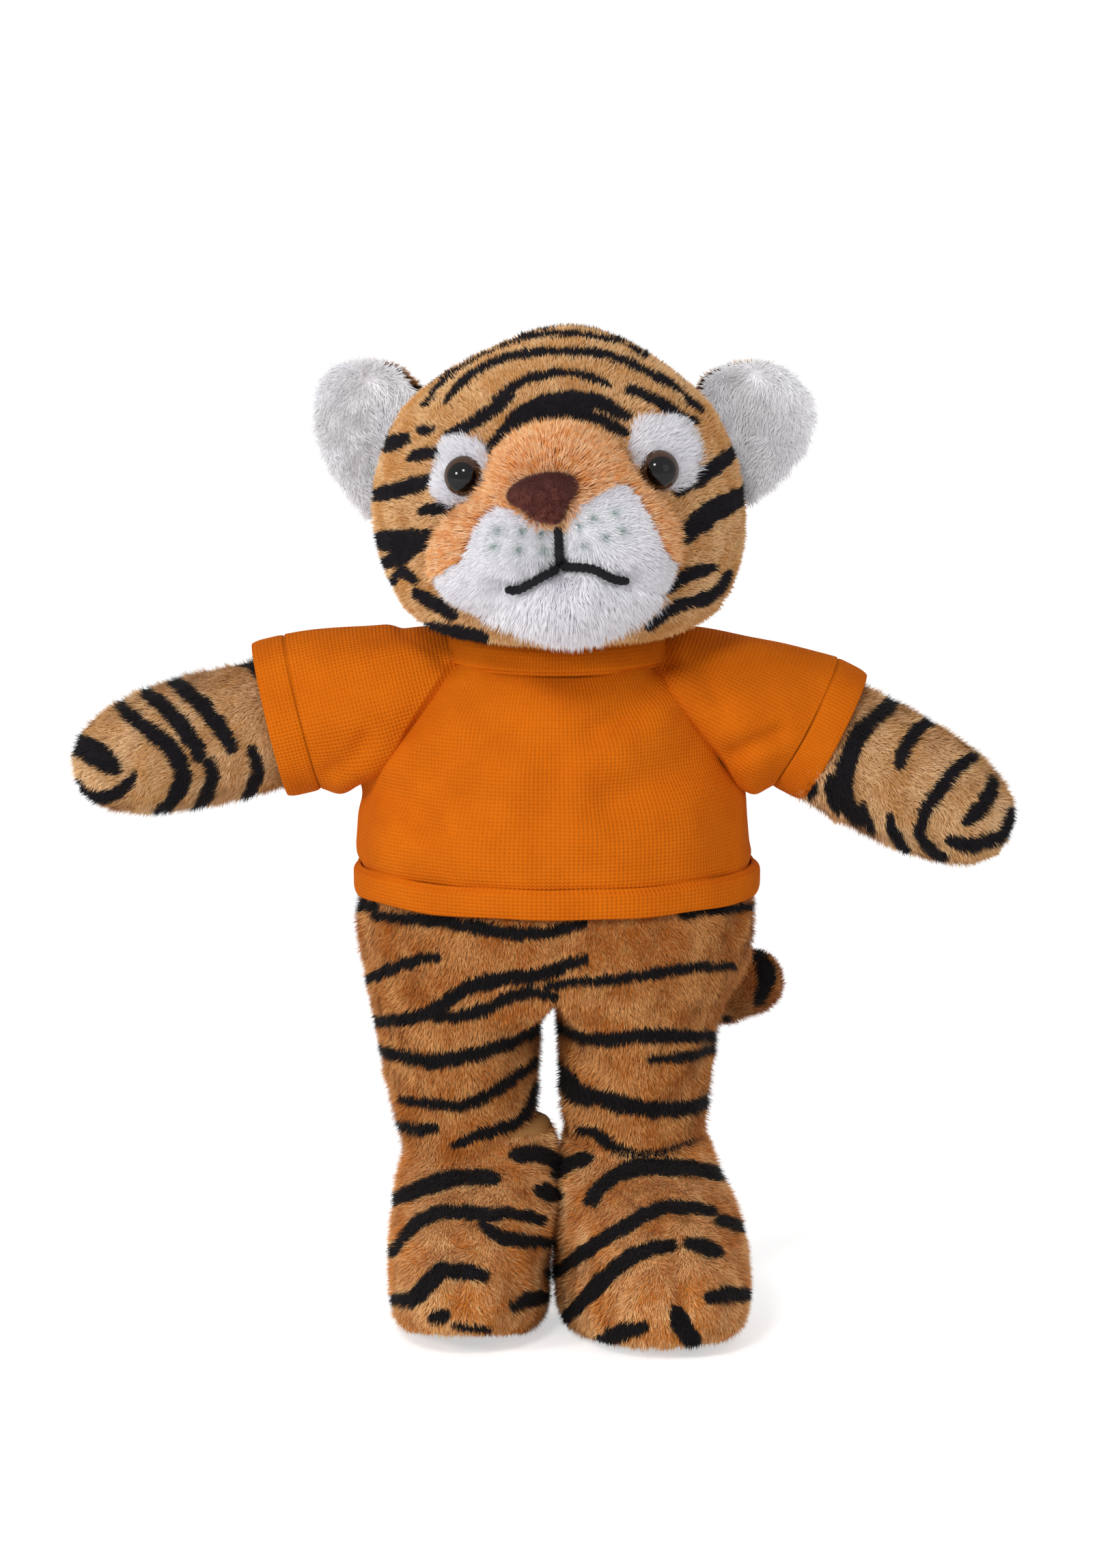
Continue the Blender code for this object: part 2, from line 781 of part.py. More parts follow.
def make_muzzle(rooms):
    """Orange snout, white cheeks and chin sewn round one stuffed bulge, with nose and mouth."""
    face = whole_head("face_room", seam_gap)
    hollow = muzzle_form("muzzle_hollow", -skin_wall)
    cheek_outline = [
        (muzzle_middle[0] + muzzle_half_width * x, muzzle_middle[1] + muzzle_half_height * z)
        for x, z in cheek_shares
    ]
    trim = 1 - seam_gap / muzzle_half_height * 2
    smaller = [
        (
            muzzle_middle[0] + (x - muzzle_middle[0]) * trim,
            muzzle_middle[1] + (z - muzzle_middle[1]) * trim,
        )
        for x, z in cheek_outline
    ]
    cheek_room = prism("cheek_room", cheek_outline, -cut_overrun * 2, 0)
    cheek_window = prism("cheek_window", smaller, -cut_overrun * 2, 0)
    below = block("below_mouth", (-wide.x, -wide.y, 0), (wide.x, wide.y, chin_top))
    above = block(
        "above_chin", (-wide.x, -wide.y, chin_top - seam_gap), (wide.x, wide.y, wide.z)
    )
    snout = muzzle_form("snout", 0, "orange_plush")
    cut(snout, hollow, face, cheek_room, below, *rooms)
    cheeks = muzzle_form("cheeks", 0, "white_plush")
    cut(cheeks, cheek_window, keep=True)
    cut(cheeks, hollow, face, below, *rooms)
    chin = muzzle_form("chin", 0, "white_plush")
    cut(chin, hollow, face, above)
    filling = muzzle_form("muzzle_filling", -skin_wall - seam_gap, "stuffing")
    cut(filling, face, *rooms)

    nose = muzzle_form("nose", nose_thickness, "nose_velour")
    middle = Vector((nose_offset, 0, nose_height))
    outline = [
        (middle.x + nose_half_width * x, middle.z + nose_half_height * z) for x, z in nose_shares
    ]
    cut(nose, prism("nose_outline", outline, -cut_overrun * 2, muzzle_back), keep=True)
    cut(nose, muzzle_form("nose_bed", seam_gap))
    for name, shares in yarn_shares.items():
        make_yarn(name, [muzzle_surface(x, z) for x, z in shares])


def make_yarn(name, points):
    """A length of yarn that lies on the muzzle."""
    lifted = [point - Vector((0, yarn_radius + seam_gap * 2, 0)) for point in points]
    frames = path_frames(lifted)
    radii = [yarn_radius] * len(points)
    radii[0] *= yarn_end_share
    radii[-1] *= yarn_end_share
    rings = [ring_at(frame, radius, yarn_sides) for frame, radius in zip(frames, radii)]
    loft(name, rings, "black_yarn", "neck_nod")


def path_frames(points):
    """A matrix at each point of a path, its Z along the path and its twist kept small."""
    frames = []
    side = Vector((0, 1, 0))
    for i, point in enumerate(points):
        along = (points[min(i + 1, len(points) - 1)] - points[max(i - 1, 0)]).normalized()
        side = (side - along * side.dot(along)).normalized()
        turn = Matrix((side, along.cross(side), along)).transposed().to_4x4()
        frames.append(Matrix.Translation(point) @ turn)
    return frames


def ring_at(frame, radius, sides, lift=0):
    turns = [2 * math.pi * i / sides for i in range(sides)]
    return [
        frame @ Vector((radius * math.cos(a), radius * math.sin(a), lift)) for a in turns
    ]


def make_ears():
    """A white front and a striped back panel for each ear, rolled together at the root."""
    for side, (low, high) in ear_bases.items():
        base = high - low
        outward = Vector((-base.z, 0, base.x)).normalized()
        if side == "left":
            outward = -outward
        reach = ear_reach[side]
        root = ear_root_radius
        rows = [(root * out, 0, 1, root * wall) for out, wall in ear_root_shares]
        for share, start, end in ear_outline_shares[1:]:
            swell = math.sin(math.pi * share)
            wall = ear_neck_wall + (ear_thickness - ear_neck_wall) * swell
            rows.append((reach * share, start, end, max(ear_rim_wall, wall)))
        rows[-1] = (*rows[-1][:3], ear_rim_wall)
        for panel, towards, finish in (
            ("ear_front_", -1, "white_plush"),
            ("ear_back_", 1, "striped_plush"),
        ):
            inner, outer = [], []
            for out, start, end, wall in rows:
                for column in range(ear_columns):
                    share = start + (end - start) * column / (ear_columns - 1)
                    rim = 1 - abs(2 * column / (ear_columns - 1) - 1) ** 4
                    cup = ear_cup * max(0, out / reach) * (rim - 0.5)
                    point = low + base * share + outward * out
                    point = point + Vector((0, ear_plane + cup, 0))
                    thick = ear_rim_wall + (wall - ear_rim_wall) * rim if out > root else wall
                    thick = min(thick, wall)
                    inner.append(point + Vector((0, towards * seam_gap / 2, 0)))
                    outer.append(point + Vector((0, towards * thick, 0)))
            pillow(panel + side, inner, outer, ear_columns, finish, "ear_fold_" + side)


def pillow(name, inner, outer, columns, finish, joint):
    """Two grids of points joined round their rim into one closed panel."""
    rows = len(inner) // columns
    count = len(inner)
    faces = []
    for row in range(rows - 1):
        for column in range(columns - 1):
            a = row * columns + column
            b = a + columns
            for corner in ((a, a + 1, b + 1), (a, b + 1, b)):
                faces.append(corner)
                faces.append(tuple(count + i for i in reversed(corner)))
    rim = [column for column in range(columns)]
    rim += [row * columns + columns - 1 for row in range(1, rows)]
    rim += [(rows - 1) * columns + column for column in range(columns - 2, -1, -1)]
    rim += [row * columns for row in range(rows - 2, 0, -1)]
    for a, b in zip(rim, rim[1:] + rim[:1]):
        faces.append((a, count + a, count + b, b))
    mesh = bpy.data.meshes.new(name)
    mesh.from_pydata(inner + outer, [], faces)
    shape = bmesh.new()
    shape.from_mesh(mesh)
    bmesh.ops.recalc_face_normals(shape, faces=shape.faces)
    shape.to_mesh(mesh)
    shape.free()
    for face in mesh.polygons:
        face.use_smooth = True
    return place_object(name, mesh, finish, joint)


def arm_frame(side):
    """The arm's own axes: Z from its pivot towards the paw, Y as the toy's."""
    lean = math.pi / 2 + arm_slopes[side]
    turn = -lean if side == "right" else lean
    return Matrix.Translation(arm_pivots[side]) @ Matrix.Rotation(turn, 4, "Y")


def arm_outline():
    """From the paw's tip down to the round root, as (radius, distance from the pivot)."""
    outline = scaled(arm_shares, arm_radius, arm_length)
    for share in root_height_shares:
        height = arm_root_radius * share
        outline.append((math.sqrt(arm_root_radius**2 - height**2), height))
    return outline


def make_arms():
    """Stuffed arms, open at the root, with the sleeves' hem bands round them."""
    outline = arm_outline()
    flat = Matrix.Diagonal((1, arm_depth_share, 1, 1))
    for side in arm_pivots:
        joint = "arm_raise_" + side
        frame = arm_frame(side)
        turned(
            "arm_skin_" + side,
            shell_open_below(outline, skin_wall),
            arm_steps,
            "striped_plush",
            joint,
            frame @ flat,
        )
        inside = offset(outline, -skin_wall - seam_gap)
        turned(
            "arm_filling_" + side,
            inside + [(0, inside[-1][1])],
            arm_steps // 2,
            "stuffing",
            joint,
            frame @ flat,
        )
        radius = cuff_radii[side] + band_extra
        bore = radius - jersey - band_extra
        cuff = [
            (bore, sleeve_length),
            (radius, sleeve_length),
            (radius, sleeve_length - cuff_length),
            (bore, sleeve_length - cuff_length),
        ]
        turned(
            "shirt_cuff_" + side,
            cuff,
            sleeve_steps,
            "jersey_orange",
            joint,
            frame @ Matrix.Diagonal((1, sleeve_depth_share, 1, 1)),
            ring=True,
        )


def sleeve_form(name, side, distance, past_ends=0, finish=None):
    """The sleeve's tube, grown by a distance, closed across both ends or past them."""
    length = sleeve_length - cuff_length - seam_gap
    outline = scaled(sleeve_shares, cuff_radii[side], length)
    outline = [(radius + distance, height) for radius, height in outline]
    top = outline[0][1] + past_ends
    root = outline[-1][1] - past_ends
    closed = [(0, top), (outline[0][0], top)] + outline[1:-1] + [(outline[-1][0], root), (0, root)]
    flat = Matrix.Diagonal((1, sleeve_depth_share, 1, 1))
    return turned(name, closed, sleeve_steps, finish, matrix=arm_frame(side) @ flat)


def shirt_span(low, high):
    """The body's profile between two heights, with a point on each."""
    points = []
    for (r1, z1), (r2, z2) in zip(torso_profile, torso_profile[1:]):
        for level in (high, low):
            if z2 < level <= z1:
                points.append((r1 + (r2 - r1) * (z1 - level) / (z1 - z2), level))
        if low < z2 < high:
            points.append((r2, z2))
    return sorted(set(points), key=lambda point: -point[1])


def raglan_blocks(side):
    """Half spaces beyond and within the slanting seam from armpit to collar."""
    sign = -1 if side == "right" else 1
    armpit = Vector((sign * armpit_half_width, 0, armpit_height))
    top = Vector((sign * raglan_top_half_width, 0, raglan_top_height))
    lean = math.atan2(top.x - armpit.x, top.z - armpit.z)
    frame = Matrix.Translation(armpit) @ Matrix.Rotation(lean, 4, "Y")
    reach = cut_overrun * 2
    sleeve_low, sleeve_high = (-reach, 0) if sign < 0 else (0, reach)
    body_low, body_high = (-seam_gap, reach) if sign < 0 else (-reach, seam_gap)
    beyond = block(
        "beyond_raglan_" + side, (sleeve_low, -reach, -reach), (sleeve_high, reach, reach), frame
    )
    within = block(
        "within_raglan_" + side, (body_low, -reach, -reach), (body_high, reach, reach), frame
    )
    return beyond, within


def make_shirt():
    """Front, back and raglan sleeves of thin jersey, with bands at the collar and hem."""
    neckline = crotch_height + torso_height * neckline_share
    span = shirt_span(hem_high + seam_gap, neckline)
    outside = offset(span, shirt_ease + jersey)
    outside = [(0, outside[0][1])] + outside + [(0, outside[-1][1])]
    longer = shirt_span(hem_low, crotch_height + torso_height * shirt_hollow_share)
    inside = offset(longer, shirt_ease)
    inside = [(0, inside[0][1] + skin_wall)] + inside + [(0, inside[-1][1] - skin_wall)]
    body_hollow = turned("shirt_hollow", inside, torso_steps, matrix=torso_flat)
    rim = offset(span, shirt_ease + jersey)[0]
    room = rim[0] + band_extra + seam_gap
    column = [(0, cut_overrun * 4), (room, cut_overrun * 4), (room, rim[1]), (0, rim[1])]
    collar_room = turned("collar_room", column, torso_steps, matrix=torso_flat)
    beyond, within = {}, {}
    for side in arm_pivots:
        beyond[side], within[side] = raglan_blocks(side)
    for name, other_half in (("shirt_front", back_half), ("shirt_back", front_half)):
        panel = turned(name, outside, torso_steps, "jersey_orange", matrix=torso_flat)
        cut(panel, body_hollow, *beyond.values(), other_half, *arm_seats)
    shirt_form = turned("shirt_form", outside, torso_steps, matrix=torso_flat)
    for side, seat in zip(arm_pivots, arm_seats):
        sleeve = sleeve_form("shirt_sleeve_" + side, side, 0, finish="jersey_orange")
        hollow = sleeve_form("sleeve_hollow_" + side, side, -jersey, cuff_length)
        join(sleeve, shirt_form)
        cut(sleeve, within[side], body_hollow, hollow, seat, collar_room)
        for step in sleeve.modifiers:
            if step.type == "BOOLEAN":
                step.solver = "MANIFOLD"

    hem = shirt_span(hem_low, hem_high)
    ring = offset(hem, shirt_ease + jersey + band_extra) + offset(hem, shirt_ease)[::-1]
    turned("shirt_hem", ring, torso_steps, "jersey_orange", matrix=torso_flat, ring=True)

    wall = jersey + band_extra
    collar_low = rim[1] + seam_gap
    collar_top = collar_low + collar_height
    collar = [
        (collar_top_radius + wall, collar_top),
        (rim[0] + band_extra, collar_low + wall),
        (rim[0] + band_extra, collar_low),
        (rim[0] + band_extra - wall, collar_low),
        (collar_top_radius, collar_top - band_extra),
    ]
    turned("shirt_collar", collar, torso_steps, "jersey_orange", matrix=torso_flat, ring=True)


def leg_rings(side, inset, lowest):
    """Rings from the hip's round top down to a height, drawn in by an inset."""
    middle = leg_middles[side]
    half = leg_half_widths[side]
    rings = []
    for share in hip_angle_shares:
        angle = math.pi * share
        radius = hip_radius - inset
        rings.append(
            (
                middle,
                (half - inset) * math.sin(angle),
                radius * math.sin(angle),
                hip_height + radius * math.cos(angle),
            )
        )
    start = rings[-1][3]
    for share, across, deep in shaft_shares:
        rings.append(
            (
                middle + (ankle_middles[side] - middle) * share,
                ankle_half_width + (half - ankle_half_width) * across - inset,
                ankle_half_depth + (hip_radius - ankle_half_depth) * deep - inset,
                start + (lowest - start) * share,
            )
        )
    rings.append(
        (ankle_middles[side], ankle_half_width - inset, ankle_half_depth - inset, lowest)
    )
    return [ellipse((x, 0, z), wide_, deep_, leg_steps) for x, wide_, deep_, z in rings]


def make_legs():
    """Stuffed legs: a round hip, and a shaft that narrows to the ankle seam."""
    lowest = ankle_height + seam_gap
    for side in leg_middles:
        joint = "leg_swing_" + side
        outer = leg_rings(side, 0, lowest)
        inner = leg_rings(side, skin_wall, lowest)
        loft("leg_skin_" + side, inner + outer[::-1], "striped_plush", joint)
        core = [ring[::2] for ring in leg_rings(side, skin_wall + seam_gap, lowest)]
        loft("leg_filling_" + side, core, "stuffing", joint)


def foot_rings(side, inset, low, high):
    """Level rings of the foot between two heights, turned out a little."""
    turn = Matrix.Rotation(foot_turns[side], 4, "Z")
    middle = Matrix.Translation((foot_middles[side], 0, 0))
    levels = [(foot_height * up, *others) for up, *others in foot_shares]
    rings = []
    heights = [low] + [level[0] for level in levels if low < level[0] < high] + [high]
    for height in heights:
        for first, second in zip(levels, levels[1:]):
            if first[0] <= height <= second[0]:
                share = (height - first[0]) / (second[0] - first[0])
                across, toe, heel = [
                    a + (b - a) * share for a, b in zip(first[1:], second[1:])
                ]
        ring = ellipse(
            (0, 0, height),
            foot_half_widths[side] * across - inset,
            (toe_reach * toe - inset, heel_reach * heel - inset),
            foot_steps,
            foot_squareness,
        )
        rings.append([middle @ turn @ point for point in ring])
    return rings


def make_feet():
    """An upper round the stuffing and a flat sole panel under it."""
    for side in foot_middles:
        joint = "leg_swing_" + side
        floor = sole_wall + seam_gap
        outer = foot_rings(side, 0, floor, ankle_height)
        inner = foot_rings(side, skin_wall, floor, ankle_height)
        loft("foot_upper_" + side, outer + inner[::-1], "striped_plush", joint, loop=True)
        loft("foot_sole_" + side, foot_rings(side, 0, 0, sole_wall), "striped_plush", joint)
        core = foot_rings(side, skin_wall + stuffing_gap, floor, ankle_height)
        loft("foot_filling_" + side, core, "stuffing", joint)


def tail_rings(inset, sides):
    """Rings along the tail, from its round root to its rounded end."""
    radius = tail_radius - inset
    frames = path_frames(tail_path)

    def end(frame, shares):
        return [ring_at(frame, radius * across, sides, radius * up) for up, across in shares]

    along = [ring_at(frame, radius, sides) for frame in frames]
    return end(frames[0], tail_root_shares) + along + end(frames[-1], tail_end_shares)


def make_tail():
    outer = tail_rings(0, tail_sides)
    inner = tail_rings(tail_wall, tail_sides)
    loft("tail_skin", outer + inner[::-1], "striped_plush", "tail_wag")
    core = [ring[::2] for ring in tail_rings(tail_wall + seam_gap, tail_sides)]
    loft("tail_filling", core, "stuffing", "tail_wag")


def set_origin():
    """Moves the toy so that the middle of its box stands over the origin, on the floor."""
    bpy.context.view_layer.update()
    graph = bpy.context.evaluated_depsgraph_get()
    points = []
    for thing in tiger.objects:
        if thing.type == "MESH":
            seen = thing.evaluated_get(graph)
            points += [seen.matrix_world @ vertex.co for vertex in seen.data.vertices]
    low = [min(point[i] for point in points) for i in range(3)]
    high = [max(point[i] for point in points) for i in range(3)]
    origin.location = (-(low[0] + high[0]) / 2, -(low[1] + high[1]) / 2, -low[2])
    bpy.context.view_layer.update()
    print("size", [round((b - a) / mm, 2) for a, b in zip(low, high)], "mm")
    for name, empty in joints.items():
        print(name, [round(value, 5) for value in empty.matrix_world.translation])
    print("origin moved", [round(value, 5) for value in origin.location])


make_body()
make_neck()
eye_frames = make_head()
eye_rooms = make_eyes(eye_frames, muzzle_form("muzzle_room", seam_gap))
make_muzzle(eye_rooms)
make_ears()
make_arms()
make_shirt()
make_legs()
make_feet()
make_tail()
set_origin()
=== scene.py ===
# %% [markdown]
# # A plush tiger in an orange T-shirt
#
# The toy is made the way a soft-toy maker sees it: smooth stuffed skins first, then the pile that
# grows on them, then the jersey shirt, the eyes, the nose and the yarn mouth. Most pieces ride on a
# body of the imported model, which is loaded first and gives the sizes and the joints.

# %% Load the imported model
import math

import bmesh
import bpy
import numpy as np
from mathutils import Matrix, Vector


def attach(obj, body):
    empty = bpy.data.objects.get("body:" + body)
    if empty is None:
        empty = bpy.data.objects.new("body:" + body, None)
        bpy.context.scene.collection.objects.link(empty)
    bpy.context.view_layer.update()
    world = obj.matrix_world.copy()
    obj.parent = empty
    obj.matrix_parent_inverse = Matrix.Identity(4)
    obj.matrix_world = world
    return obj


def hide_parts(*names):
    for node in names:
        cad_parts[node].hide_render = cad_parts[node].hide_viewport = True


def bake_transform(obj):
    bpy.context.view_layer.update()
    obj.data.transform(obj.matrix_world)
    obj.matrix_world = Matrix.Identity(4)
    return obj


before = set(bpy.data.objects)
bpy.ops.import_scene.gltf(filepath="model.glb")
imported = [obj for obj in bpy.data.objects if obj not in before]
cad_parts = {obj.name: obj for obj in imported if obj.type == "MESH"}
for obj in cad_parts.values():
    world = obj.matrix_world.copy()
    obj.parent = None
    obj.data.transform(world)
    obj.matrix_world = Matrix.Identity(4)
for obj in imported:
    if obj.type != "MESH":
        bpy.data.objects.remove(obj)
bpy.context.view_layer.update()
mm = 0.001
toy_middle = np.array([2.57, 3.23, 0.0])
out_way = {"right": -1, "left": 1}  # the way out along x on each side of the toy

# %% [markdown]
# ## The camera
#
# The toy was photographed from a little above, with a long lens, so its lines stay nearly parallel.
# A camera could be placed by eye. Here its height, distance and lens follow from the size of the
# frame at the toy, 337.6 mm from top to bottom, so the toy fills the picture as it should.

# %% Camera
frame_height = 337.6
camera_distance = 3000.0
camera_rise = math.radians(12.0)
sensor_width = 36.0
aim = toy_middle + np.array([-1.4, 0.0, 119.1])

camera_data = bpy.data.cameras.new("camera")
camera_data.sensor_width = sensor_width
camera_data.sensor_fit = "AUTO"
camera_data.lens = sensor_width * camera_distance / frame_height
camera = bpy.data.objects.new("camera", camera_data)
bpy.context.scene.collection.objects.link(camera)
back = np.array([0.0, -math.cos(camera_rise), math.sin(camera_rise)])
camera.location = (aim + back * camera_distance) * mm
camera.rotation_euler = (math.pi / 2 - camera_rise, 0.0, 0.0)
bpy.context.scene.camera = camera
print("lens", round(camera_data.lens, 1))

# %% [markdown]
# ## Placing by the picture
#
# A place on the toy and its place in the picture follow from each other by the camera's own rule:
# sideways and upward distance from the aim, times 6.8 px for each mm, a little more for what stands
# nearer. The stripes and seams below are drawn in picture places and read back on the skins.

# %% Picture places
px_per_mm = 6.8
picture_middle = (804.5, 1148.0)
face_crop = (440, 440, 1.96)  # left, top and scale of the enlargement of the face
view_up = np.array([0.0, math.sin(camera_rise), math.cos(camera_rise)])


def picture_place(points):
    """The picture place (x, v) of each point, in px from the picture's top left corner."""
    p = points - aim
    scale = px_per_mm * camera_distance / (camera_distance - p @ back)
    return picture_middle[0] + scale * p[..., 0], picture_middle[1] - scale * (p @ view_up)


def from_picture(line, y):
    """The sideways place and the height, from the toy's middle line, that a picture place has on
    the upright plane at y: the camera's rule solved for z, then for x."""
    up, deep = picture_middle[1] - line[:, 1], y - (aim - toy_middle)[1]
    k, c, n = px_per_mm * camera_distance, math.cos(camera_rise), math.sin(camera_rise)
    z = (up * (camera_distance + deep * c) - k * deep * n) / (k * c + up * n)
    x = (line[:, 0] - picture_middle[0]) * (camera_distance + deep * c - z * n) / k
    return np.stack([x, z], axis=1) + (aim - toy_middle)[[0, 2]]


# %% [markdown]
# ## Small tools for curves and surfaces
#
# Every form starts from a few measured points. A Catmull-Rom line runs smoothly through them. The
# other ways, such as Bezier handles, would need more numbers for the same curve.

# %% Curve tools
def lengths_along(line):
    """The length of a line up to each of its points."""
    return np.r_[0, np.cumsum(np.linalg.norm(np.diff(line, axis=0), axis=1))]


def smooth_line(points, count, closed=False):
    """A Catmull-Rom line through the points: on each span, the cubic whose slope at a point is half
    the step between its two neighbours. It is read at count even steps of its own length."""
    p = np.asarray(points, float)
    if closed:
        p = np.vstack([p[-1], p, p[0], p[1]])
    else:
        p = np.vstack([2 * p[0] - p[1], p, 2 * p[-1] - p[-2]])
    t = np.linspace(0, 1, 24, endpoint=False)[:, None, None]
    a, b, c, d = p[:-3], p[1:-2], p[2:-1], p[3:]
    spans = 0.5 * (
        2 * b + (c - a) * t + (2 * a - 5 * b + 4 * c - d) * t**2
        + (3 * b - a - 3 * c + d) * t**3
    )
    line = np.vstack([spans.transpose(1, 0, 2).reshape(-1, p.shape[1]), p[-2]])
    steps = lengths_along(line)
    wanted = np.linspace(0, steps[-1], count, endpoint=not closed)
    return np.stack([np.interp(wanted, steps, line[:, k]) for k in range(p.shape[1])], axis=1)


def by_height(table):
    """A smooth function of height from a table of (height, value)."""
    line = smooth_line(sorted(table), 400)
    return lambda z: np.interp(z, line[:, 0], line[:, 1])


def around(count):
    """Even angles of a full turn."""
    return np.linspace(0, 2 * math.pi, count, endpoint=False)


def unit(v):
    """Each vector at length 1."""
    return v / np.maximum(np.linalg.norm(v, axis=-1, keepdims=True), 1e-12)


def ramp(x, low, high):
    """0 below low, 1 above high, and a smooth S between them."""
    t = np.clip((x - low) / (high - low), 0, 1)
    return t * t * (3 - 2 * t)


wave_random = np.random.default_rng(7)
wave_turns = unit(wave_random.normal(size=(24, 3)))
wave_starts = wave_random.uniform(0, 2 * math.pi, 24)


def ripple(points, size, first=0):
    """A soft irregular field from -1 to 1: eight plane waves of about the given length, added."""
    total = 0
    for k in range(8):
        turn = wave_turns[(first + k) % 24]
        length = size * (0.7 + 0.09 * k)
        total = total + np.sin(points @ turn * 2 * math.pi / length + wave_starts[(first + k) % 24])
    return total / 4


# %% [markdown]
# ## From a grid of points to a mesh
#
# A surface here is an array of points in rows and columns. The function below joins them with
# four-sided faces and lays out a UV map from the rows and columns. Doubles at a pole or a seam are
# merged, so that each piece is closed where the real one is.

# %% Grid to mesh
def corner_grid(points):
    """The four corners of every cell, and their UVs, from rows that are closed rings."""
    p = np.concatenate([points, points[:, :1]], axis=1)
    rows, columns = p.shape[:2]
    u, v = np.meshgrid(np.linspace(0, 1, rows), np.linspace(0, 1, columns), indexing="ij")
    uv = np.stack([v, u], axis=-1) * 0.98 + 0.01
    low, high = slice(None, -1), slice(1, None)
    order = ((low, low), (low, high), (high, high), (high, low))
    corners = np.stack([p[a, b] for a, b in order], axis=2).reshape(-1, 4, 3)
    corner_uv = np.stack([uv[a, b] for a, b in order], axis=2).reshape(-1, 4, 2)
    return corners, corner_uv


def mesh_object(name, points, faces, uv, material, smooth=True):
    """An object from points in mm, faces of equal size and a UV for each corner of each face."""
    mesh = bpy.data.meshes.new(name)
    count, sides = faces.shape
    mesh.vertices.add(len(points))
    mesh.vertices.foreach_set("co", (points * mm).astype(np.float32).ravel())
    mesh.loops.add(count * sides)
    mesh.loops.foreach_set("vertex_index", faces.astype(np.int32).ravel())
    mesh.polygons.add(count)
    mesh.polygons.foreach_set("loop_start", np.arange(0, count * sides, sides, dtype=np.int32))
    mesh.polygons.foreach_set("use_smooth", np.full(count, smooth))
    layer = mesh.uv_layers.new(name="OFBake")
    layer.uv.foreach_set("vector", uv.astype(np.float32).ravel())
    mesh.update(calc_edges=True)
    mesh.materials.append(material)
    thing = bpy.data.objects.new(name, mesh)
    bpy.context.scene.collection.objects.link(thing)
    return thing


def points_of(thing):
    """A piece's points in mm, one to a row."""
    co = np.empty(len(thing.data.vertices) * 3, np.float32)
    thing.data.vertices.foreach_get("co", co)
    return co.reshape(-1, 3) / mm


def write_values(thing, label, values):
    """Keeps a number at each of a piece's points, which its material reads by name."""
    layer = thing.data.attributes.new(label, "FLOAT", "POINT")
    layer.data.foreach_set("value", values.astype(np.float32))


def merge_doubles(thing, distance=0.002):
    """Merges points closer than a distance in mm and drops the faces that vanish."""
    shape = bmesh.new()
    shape.from_mesh(thing.data)
    bmesh.ops.remove_doubles(shape, verts=shape.verts, dist=distance * mm)
    bmesh.ops.dissolve_degenerate(shape, edges=shape.edges, dist=distance * mm * 0.5)
    shape.to_mesh(thing.data)
    shape.free()


def facing(points, inside_at=None):
    """1 where the grid's own normals point away from its middle, or from a given place, else -1."""
    corners, _ = corner_grid(points)
    normal = np.cross(corners[:, 2] - corners[:, 0], corners[:, 3] - corners[:, 1])
    middle = corners.mean(axis=(0, 1)) if inside_at is None else inside_at
    return 1 if (normal * (corners.mean(axis=1) - middle)).sum() > 0 else -1


def surface_piece(name, points, material, keep=None, inside_at=None):
    """A smooth piece from a grid. keep, a function of the cells' middles, leaves out the rest."""
    outward = facing(points, inside_at)
    corners, uv = corner_grid(points)
    if keep is not None:
        kept = keep(corners.mean(axis=1))
        corners, uv = corners[kept], uv[kept]
    if outward < 0:
        corners, uv = corners[:, ::-1], uv[:, ::-1]
    faces = np.arange(len(corners) * 4).reshape(-1, 4)
    thing = mesh_object(name, corners.reshape(-1, 3), faces, uv.reshape(-1, 2), material)
    merge_doubles(thing)
    return thing


# %% [markdown]
# ## Pile
#
# Plush is a knitted backing with cut fibres that stand 1 to 5 mm proud and lean with the way it was
# brushed. Blender's hair would show them, but the exported model keeps only meshes. Each tuft of
# fibres is one thin tapered blade, thousands to the square inch, rooted on the skin at random.
# Neighbours lean nearly alike, because the direction comes from a smooth field, as brushed pile
# does.

# %% Pile
def pile_roots(points, density, keep, outward, random):
    """Random roots over a grid, as many to each cell as its area asks for: two random shares of the
    cell give the place, its normal and its UV."""
    corners, uv = corner_grid(points)
    a, b, c, d = corners.transpose(1, 0, 2)
    area = 0.5 * np.linalg.norm(np.cross(c - a, d - b), axis=1)
    total = np.cumsum(area)
    count = int(total[-1] * density / 100)
    cell = np.searchsorted(total, (np.arange(count) + random.random(count)) / count * total[-1])
    cell = np.minimum(cell, len(area) - 1)
    s, t = random.random((2, count, 1))
    a, b, c, d = a[cell], b[cell], c[cell], d[cell]
    root = (a * (1 - s) + b * s) * (1 - t) + (d * (1 - s) + c * s) * t
    normal = unit(np.cross((b - a) * (1 - t) + (c - d) * t, (d - a) * (1 - s) + (c - b) * s))
    ua, ub, uc, ud = uv[cell].transpose(1, 0, 2)
    place = (ua * (1 - s) + ub * s) * (1 - t) + (ud * (1 - s) + uc * s) * t
    if keep is not None:
        kept = keep(root)
        root, normal, place = root[kept], normal[kept], place[kept]
    return root, normal * outward, place


def brushed(x, y, z):
    """A comb that brushes every blade the same way."""
    return lambda root: np.broadcast_to(np.array([x, y, z]), root.shape)


